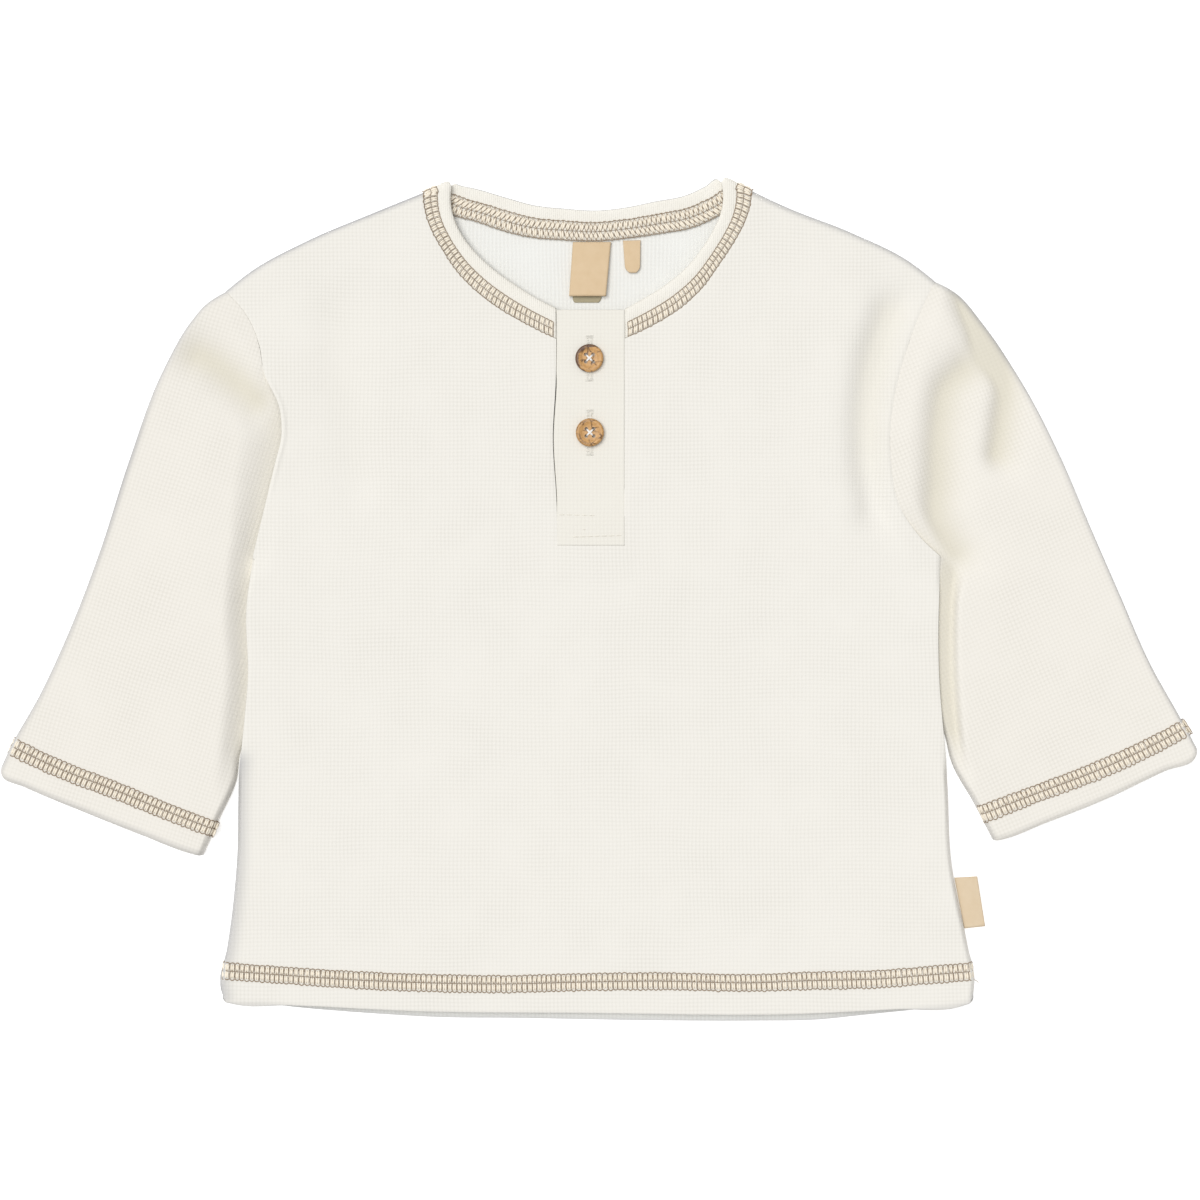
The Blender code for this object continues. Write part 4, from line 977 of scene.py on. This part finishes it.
# Where the back band turns over, its top edge gets the grey knit: painted shade.
section_shares = np.array([row[0] for row in BAND_SECTION])
at_opening = (section_shares + np.roll(section_shares, -1)) / 2 < 0.03
turned_over = np.array([s[4] > math.radians(60) for s in stations])
which = at_opening[None, :] & (turned_over[:-1] & turned_over[1:])[:, None]
band = mesh_object("neck_band_strip", rings.reshape(-1, 3), np.vstack([faces, ends]),
                   [band_knit, painted_edge_shade_knit], np.concatenate([which.reshape(-1), np.zeros(len(ends))]))
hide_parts("neck_band")


# ---------------------------------------------------------------- placket

def strip(name, left, right, foot, head, low, high, material, soft=0.45, sewn=None, bow=None, wave=None):
    """A flat strip along Y with softened edges. The right and foot edges are sewn where sewn is given."""
    hard = soft if sewn is None else sewn
    close = np.array([0, 0.15, 0.5, 1.0])
    xs = np.concatenate([left + close * soft, np.linspace(left + soft * 2, right - soft * 2, 20),
                         right - close[::-1] * hard])
    ys = np.concatenate([foot + close * hard, np.linspace(foot + soft * 2, head - soft * 2, 60),
                         head - close[::-1] * soft])
    gx, gy = np.meshgrid(xs, ys)
    free = roll(np.minimum(gx - left, head - gy), soft)
    turn = np.minimum(free, roll(np.minimum(right - gx, gy - foot), hard))
    half = (high - low) / 2
    middle = (high + low) / 2
    lift = wave(gx, gy) if wave else 0.0
    if bow:
        gx = gx + bow(gy) * (right - gx) / (right - left)
    top = np.dstack([gx, gy, middle + half * turn + lift * turn])
    low_side = np.dstack([gx, gy, middle - half * turn])
    names = np.arange(gx.size).reshape(gx.shape)
    faces = cells(names)
    rim = border(names)
    points = np.vstack([top.reshape(-1, 3), low_side.reshape(-1, 3)])
    points[gx.size + rim] = points[rim]
    merged = np.arange(len(points))
    merged[gx.size + rim] = rim
    return mesh_object(name, points, merged[np.vstack([faces, gx.size + faces[:, ::-1]])], [material])


def placket_wave(x, y):
    """The top strip pulls a little between its buttons."""
    pulled = 0.10 * np.sin((y - 20) / 9.0) * ease((x - SLIT_LEFT) / 12.0)
    sewn = 0.05 * np.exp(-((x - 7.4) / 0.8) ** 2) + 0.06 * np.exp(-((y - 31.6) / 0.45) ** 2)
    inward = ease(np.minimum(SLIT_RIGHT - x, y - SLIT_FOOT) / 5.0)
    plain = BODY_RISE - PLACKET_RISE + PLACKET_END * ease((SLIT_FOOT + 20.0 - y) / 12.0)
    return plain + 0.04 - 0.05 * inward + pulled * inward - sewn


def placket_bow(y):
    """The top strip's left edge follows the slit's and closes over it above and below."""
    return slit_bow(y) - 0.35 * np.maximum(ease((y - 79.0) / 8.0), ease((38.0 - y) / 8.0))


top_strip = strip("placket_top_strip", SLIT_LEFT + 0.06, SLIT_RIGHT + 0.3, SLIT_FOOT - 0.3, PLACKET_TOP,
                  PLACKET_RISE - PLACKET_THICK, PLACKET_RISE, placket_knit, soft=0.35, sewn=0.04,
                  bow=placket_bow, wave=placket_wave)
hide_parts("placket_top")
under_top = PLACKET_RISE - PLACKET_THICK - GAP
under_strip = strip("placket_under_strip", SLIT_LEFT + 2.0, SLIT_RIGHT - 3.0, SLIT_FOOT + GAP,
                    PLACKET_TOP - 1.0, under_top - UNDER_THICK, under_top, placket_knit)
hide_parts("placket_under")


# ---------------------------------------------------------------- labels

def tape_piece(name, tabs):
    """Flat tabs of tape. Each has its corners, foot to head, two heights, a material, a lift and
    how much its foot is rounded."""
    points, faces, which, start = [], [], [], 0
    u, v = np.meshgrid(np.linspace(0, 1, 21), np.linspace(0, 1, 25))
    size = u.size
    names = np.arange(size).reshape(u.shape)
    top_faces = cells(names)
    rim = border(names)
    following = np.roll(rim, -1)
    sides = np.column_stack([following, rim, size + rim, size + following])
    for index, (corners, low, high, material, lift, rounded) in enumerate(tabs):
        foot_a, foot_b, head_b, head_a = (np.array(c, float) for c in corners)
        w = 0.5 + (u - 0.5) * (1 - rounded * np.clip(1 - v / 0.2, 0, 1) ** 2)
        plan = ((1 - w) * (1 - v))[..., None] * foot_a + (w * (1 - v))[..., None] * foot_b \
            + (w * v)[..., None] * head_b + ((1 - w) * v)[..., None] * head_a
        rise = lift * ease((1 - v) / 0.9) + 0.15 * abs(lift) * np.sin(np.pi * u)
        points += [np.dstack([plan, high + rise]).reshape(-1, 3),
                   np.dstack([plan, low + 0.6 * np.maximum(rise, 0)]).reshape(-1, 3)]
        more = np.vstack([top_faces, size + top_faces[:, ::-1], sides])
        faces.append(start + more)
        which.append(np.full(len(more), index))
        start += 2 * size
    tapes = [row[3] for row in tabs]
    return mesh_object(name, np.vstack(points), np.vstack(faces), tapes, np.concatenate(which))


neck_label = tape_piece("neck_label_tape", (
    (((-11.2, 113.9), (2.6, 113.9), (4.5, 134.3), (-9.8, 134.3)), 1.65, 2.5, tape, 0.9, 0.0),
    # Its back leaf below is painted darker: painted shadow.
    (((-9.9, 111.6), (0.6, 111.6), (1.6, 119.0), (-9.7, 119.0)), 1.25, 1.6, painted_shadow_tape, 0.0, 0.15)))
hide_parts("neck_label")
size_label = tape_piece("size_label_tape", (
    (((9.9, 122.8), (15.4, 122.8), (15.6, 135.0), (9.0, 134.8)), 1.5, 2.2, tape, 0.3, 0.55),))
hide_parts("size_label")
side_label = tape_piece("side_label_tape", (
    (((137.3, -123.6), (145.1, -122.8), (142.2, -104.1), (133.6, -104.6)), 0.7, 1.5, side_tape, 0.3, 0.0),))
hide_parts("side_label")

# ---------------------------------------------------------------- buttons

half = BUTTON_ACROSS / 2
# From the underside out, over the rim and into the well. Columns: radius, height.
BUTTON_PROFILE = ((half * 0.72, 0.0), (half * 0.93, 0.35), (half, 0.95), (half * 0.99, 1.6),
                  (half * 0.93, 2.05), (half * 0.82, BUTTON_THICK), (half * 0.68, 2.0), (half * 0.56, 1.75))


def plain_object(name, points, faces, material=None):
    """A flat-shaded mesh from lists of points in millimetres and faces of any number of corners."""
    mesh = bpy.data.meshes.new(name)
    mesh.from_pydata((np.asarray(points, float) * METRE).tolist(), [], faces)
    if material:
        mesh.materials.append(material)
    mesh.update()
    made = bpy.data.objects.new(name, mesh)
    bpy.context.scene.collection.objects.link(made)
    return made


def button(name, node, x, y, bark):
    """A turned disc with a rim, a shallow well and four thread holes."""
    steps = 96
    angles = np.linspace(0, math.tau, steps, endpoint=False)
    rings = [np.column_stack([x + r * np.cos(angles), y + r * np.sin(angles),
                              np.full(steps, BUTTON_LOW + h)]) for r, h in evenly(BUTTON_PROFILE, 34)]
    names = np.arange(len(rings) * steps).reshape(len(rings), steps)
    faces = cells(names, round_about=True).tolist() + [names[0, ::-1].tolist(), names[-1].tolist()]
    disc = plain_object(name, np.vstack(rings), faces, shell_wood(name, (x, y), bark))
    cut_points, cut_faces = [], []
    sides = 20
    turns = math.tau * np.arange(sides) / sides
    around = BUTTON_HOLE / 2 * np.column_stack([np.cos(turns), np.sin(turns)])
    for way_x, way_y in ((1, 1), (-1, 1), (-1, -1), (1, -1)):
        start = len(cut_points)
        ring = around + (x + way_x * BUTTON_HOLES_OUT, y + way_y * BUTTON_HOLES_OUT)
        for height in (BUTTON_LOW - 1.0, BUTTON_LOW + BUTTON_THICK + 1.0):
            cut_points += [(*point, height) for point in ring]
        tube = start + np.arange(2 * sides).reshape(2, sides)
        cut_faces += cells(tube, round_about=True).tolist() + [tube[0, ::-1].tolist(), tube[1].tolist()]
    cutter = plain_object(name + "_holes", cut_points, cut_faces)
    cut = disc.modifiers.new("thread_holes", "BOOLEAN")
    cut.operation = "DIFFERENCE"
    cut.solver = "EXACT"
    cut.object = cutter
    bpy.context.view_layer.update()
    made = bpy.data.meshes.new_from_object(disc.evaluated_get(bpy.context.evaluated_depsgraph_get()))
    disc.modifiers.clear()
    disc.data = made
    bpy.data.objects.remove(cutter, do_unlink=True)
    for polygon in made.polygons:
        polygon.use_smooth = True
    made.set_sharp_from_angle(angle=math.radians(35))
    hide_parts(node)
    return disc


buttons = [button(name + "_wood", name, x, y, bark) for name, x, y, bark in BUTTONS]


# ---------------------------------------------------------------- stitching

rng = np.random.default_rng(7)
# Kinds of ladder. Each has the sag of its three brown lines, their thickness, its bars and the lean of
# its pale threads. A bar has from and to across the ladder, lean in pitches and thickness.
LADDERS = {
    "hem": ((-0.07, 0.0, 0.09), (0.95, 0.6, 1.0),
            ((0.5, 1.0, 0.0, 0.8), (0.0, 0.5, 0.42, 0.5), (0.0, 0.5, -0.42, 0.45), (0.0, 0.5, 0.0, 0.5)),
            (0.0, 0.0)),
    "neck": ((-0.01, 0.0, 0.07), (0.8, 0.55, 1.0),
             ((0.5, 1.0, -0.12, 0.68), (0.0, 0.5, 0.12, 0.62)), (0.12, -0.12)),
    "lattice": ((-0.05, 0.0, 0.05), (0.9, 0.45, 0.9),
                ((0.5, 1.0, 1.0, 0.6), (0.0, 0.5, -1.0, 0.6), (0.5, 1.0, -1.0, 0.5), (0.0, 0.5, 1.0, 0.5)),
                (-0.35, 0.35)),
}


def ladder(name, top, foot, normal, style, pitch=PITCH, lift=0.08, tails=()):
    """Three brown lines with bars between them over a bed of pale thread.

    top, foot and normal are points along the two outer lines and the way up out of the cloth.
    """
    top, foot, normal = (np.asarray(a, float) for a in (top, foot, normal))
    along = lengths((top + foot) / 2)[1]
    many = max(2, int(round(along[-1] / pitch)))
    sizes = 1 + rng.uniform(-0.16, 0.16, many)
    bounds = np.concatenate([[0.0], np.cumsum(sizes)]) / sizes.sum() * along[-1]

    def at(s, o, h):
        """Points this far along and across the ladder and this high over it."""
        s, o, h = np.broadcast_arrays(*(np.asarray(a, float)[..., None] for a in (s, o, h)))
        s = np.clip(s[..., 0], 0, along[-1])
        t, f, n = (np.stack([np.interp(s, along, line[:, axis]) for axis in range(3)], axis=-1)
                   for line in (top, foot, normal))
        return t * (1 - o) + f * o + n * (h + lift)

    start, end = bounds[:-1, None], bounds[1:, None]
    ones = np.ones((many, 1))
    brown, pale = [], []
    t = np.linspace(0, 1, 7)[None, :]
    bow = np.sin(np.pi * t)
    sags, wide, bars, leans = LADDERS[style]
    for o, sag, size in zip((0.0, 0.5, 1.0), sags, wide):
        uneven = rng.uniform(0.6, 1.4, (many, 1))
        line = at(start + (end - start) * t, o + sag * bow * uneven, 0.12 + 0.12 * bow)
        brown.append((line, BROWN_THREAD * size * (0.75 + 0.3 * bow) * ones, 0.8))
    w = np.linspace(0, 1, 5)[None, :]
    arch = np.sin(np.pi * w)
    for a, b, lean, size in bars:
        sway = rng.uniform(-0.09, 0.09, (many, 1)) * pitch
        foot_at = 0.0 if lean >= 0 or style != "hem" else 1.0
        s = start + sway + pitch * (foot_at + lean * (w if style == "hem" else w - 0.5))
        radius = BROWN_THREAD * size * ones * np.ones_like(w)
        brown.append((at(s, a + (b - a) * w, 0.16 + 0.16 * arch), radius, 0.8))
    for a, lean in zip((0.0, 0.5), leans):
        centre = (start + end) / 2 + rng.uniform(-0.04, 0.04, (many, 1)) * pitch
        fat = (end - start) / pitch
        for side in (-1, 1):
            s = centre + side * 0.19 * pitch * fat + lean * pitch * (w - 0.5)
            o = a + 0.5 * (0.07 + 0.86 * w)
            pale.append((at(s, o, 0.04 + 0.12 * arch), PALE_THREAD * (0.6 + 0.5 * arch) * fat, 0.7))
    brown += [(np.array([tail]), BROWN_THREAD * 0.6, 1.0) for tail in tails]
    made = threads(name + "_brown", brown, brown_thread)
    bed = threads(name + "_pale", pale, pale_thread)
    return [made, bed]


def line_on(rows, top_at, many=160):
    """Top and foot lines of a ladder laid on a cloth's surface."""
    top = evenly([row[:2] for row in rows], many)
    foot = evenly([row[2:] for row in rows], many)
    up = np.tile([0.0, 0.0, 1.0], (many, 1))
    return np.column_stack([top, top_at(top)]), np.column_stack([foot, top_at(foot)]), up


stitches = []
tail = evenly(((139.4, -142.3, 3.4), (140.8, -142.7, 3.6), (141.8, -143.2, 3.0), (142.6, -144.2, 2.2)), 9)
stitches += ladder("hem_ladder", *line_on(HEM_STITCH, front_top), "hem", pitch=1.87, tails=(tail,))
stitches += ladder("cuff_left_ladder", *line_on(CUFF_STITCH_LEFT, left_top), "hem")
stitches += ladder("cuff_right_ladder", *line_on(CUFF_STITCH_RIGHT, right_top), "hem")

half_way = [i for i, s in enumerate(stations) if s[4] > math.radians(100)]


def on_band(some, share, lift):
    """Top and foot lines of a ladder on these sections of the band, on the side that lift is towards."""
    normals = [np.sign(lift) * np.append(np.array(s[3], float) * math.sin(s[4]), math.cos(s[4]))
               for s in some]
    return [band_point(s, share, lift) for s in some], [band_point(s, 0.98, lift) for s in some], normals


stitches += ladder("neck_left_ladder", *on_band(stations[1:half_way[0]], 0.50, 0.8), "neck", pitch=2.02)
stitches += ladder("neck_right_ladder", *on_band(stations[-2:half_way[-1]:-1], 0.50, 0.8), "neck", pitch=2.02)
inside = [s for s in stations if s[4] == math.pi][1:-1]
stitches += ladder("neck_back_ladder", *on_band(inside, 0.42, -1.0), "lattice", pitch=1.9)

# Topstitching: short cream stitches, each a low arch. Columns: x, y from, x, y to.
TOPSTITCH = ((-15.2, 31.8, -1.4, 31.4), (-10.0, 23.4, 8.6, 24.0), (-5.9, 26.2, -5.1, 26.2))


def arched(lines, rise):
    """Short lines of points laid on the front as low arches."""
    lines = np.array(lines)
    height = placket_or_front(lines.reshape(-1, 2)).reshape(lines.shape[:2])
    arch = np.sin(np.linspace(0, np.pi, lines.shape[1]))
    return np.dstack([lines, height + rise * arch - 0.02])


def running(rows, pitch=2.4, radius=0.16):
    """Rows of short stitches."""
    lines = []
    for x0, y0, x1, y1 in rows:
        count = max(1, int(math.hypot(x1 - x0, y1 - y0) / pitch))
        for i in range(count):
            t = np.linspace((i + 0.12) / count, (i + 0.88) / count, 6)
            lines.append(np.column_stack([x0 + (x1 - x0) * t, y0 + (y1 - y0) * t]))
    return arched(lines, 0.14), radius, 1.0


def placket_or_front(points):
    """Height of what lies on top, the placket or the front."""
    points = np.asarray(points, float)
    on_strip = (points[:, 0] > SLIT_LEFT) & (points[:, 0] < SLIT_RIGHT) & (points[:, 1] > SLIT_FOOT)
    strip_top = PLACKET_RISE + placket_wave(points[:, 0], points[:, 1])
    return np.where(on_strip, strip_top, front_top(points))


def satin(x, y, length=16.5):
    """A buttonhole along Y: two columns of close short stitches and a bar at each end."""
    lines = []
    t = np.linspace(-0.5, 0.5, 5)
    for column in (-0.72, 0.72):
        for level in np.arange(y - length / 2, y + length / 2, 0.46):
            shift = rng.uniform(-0.12, 0.12, 2)
            reach = rng.uniform(0.85, 1.35)
            lines.append(np.column_stack([x + column + shift[0] + t * reach, level + shift[1] + t * 0.12]))
    for end in (y - length / 2, y + length / 2):
        lines += [np.column_stack([x + t * 2.9, end + step + t * 0.1]) for step in (-0.3, 0.0, 0.3)]
    return arched(lines, 0.16), SATIN_THREAD, 1.0


def star(x, y):
    """The sewing thread over a button: strands from hole to hole, crossed in its middle."""
    lines = []
    t = np.linspace(-0.9, 0.9, 13)
    for turn in (1, -1):
        for offset in (-0.22, 0.0, 0.22):
            a, b = BUTTON_HOLES_OUT * t, turn * BUTTON_HOLES_OUT * t
            side = offset * (1 - 0.55 * t ** 2)
            lines.append(np.column_stack([x + a - turn * side * 0.7, y + b + side * 0.7,
                                          BUTTON_LOW + 1.95 + 0.12 * turn - 2.4 * t ** 6]))
    return np.array(lines), WHITE_THREAD, 1.0


stitches.append(threads("placket_topstitching", [running(TOPSTITCH)], cream_thread))
stitches.append(threads("buttonholes", [satin(x, y) for _, x, y, _ in BUTTONS], grey_thread))
stitches.append(threads("button_threads", [star(x, y) for _, x, y, _ in BUTTONS], white_thread))

for piece in stitches + [front, back, left_sleeve, right_sleeve, band, top_strip, under_strip,
                         neck_label, size_label, side_label] + buttons:
    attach(piece, "root")

# ---------------------------------------------------------------- room

table_top = Finish("white_table")
table_top.fill(table_top.shader, {
    "Base Color": srgb("#e8e8e8"), "Emission Color": srgb("#ffffff"), "Emission Strength": 0.45,
    "Roughness": 0.9, "Specular IOR Level": 0.1})
corners = [(-3000, -3000, 0), (3000, -3000, 0), (3000, 3000, 0), (-3000, 3000, 0)]
floor = plain_object("floor", corners, [(0, 1, 2, 3)], table_top.material)
floor.location.z = -0.0002

world = bpy.data.worlds.new("studio")
world.use_nodes = True
background = world.node_tree.nodes["Background"].inputs
background["Color"].default_value = srgb("#ffffff")
background["Strength"].default_value = 0.42
bpy.context.scene.world = world

window = bpy.data.lights.new("soft_window", "SUN")
window.energy = 2.40
window.angle = math.radians(45)
lamp = bpy.data.objects.new("soft_window", window)
lamp.rotation_euler = (math.radians(-10), math.radians(-16), 0)
bpy.context.scene.collection.objects.link(lamp)

camera_data = bpy.data.cameras.new("camera")
camera_data.lens = 100.0
camera_data.sensor_width = 36.0
camera_data.clip_end = 20.0
camera = bpy.data.objects.new("camera", camera_data)
camera.location = (0.000375, -0.00019, 1.2545)
bpy.context.scene.collection.objects.link(camera)
bpy.context.scene.camera = camera

look = bpy.context.scene.view_settings
look.view_transform, look.look, look.exposure = "Standard", "None", 0.0
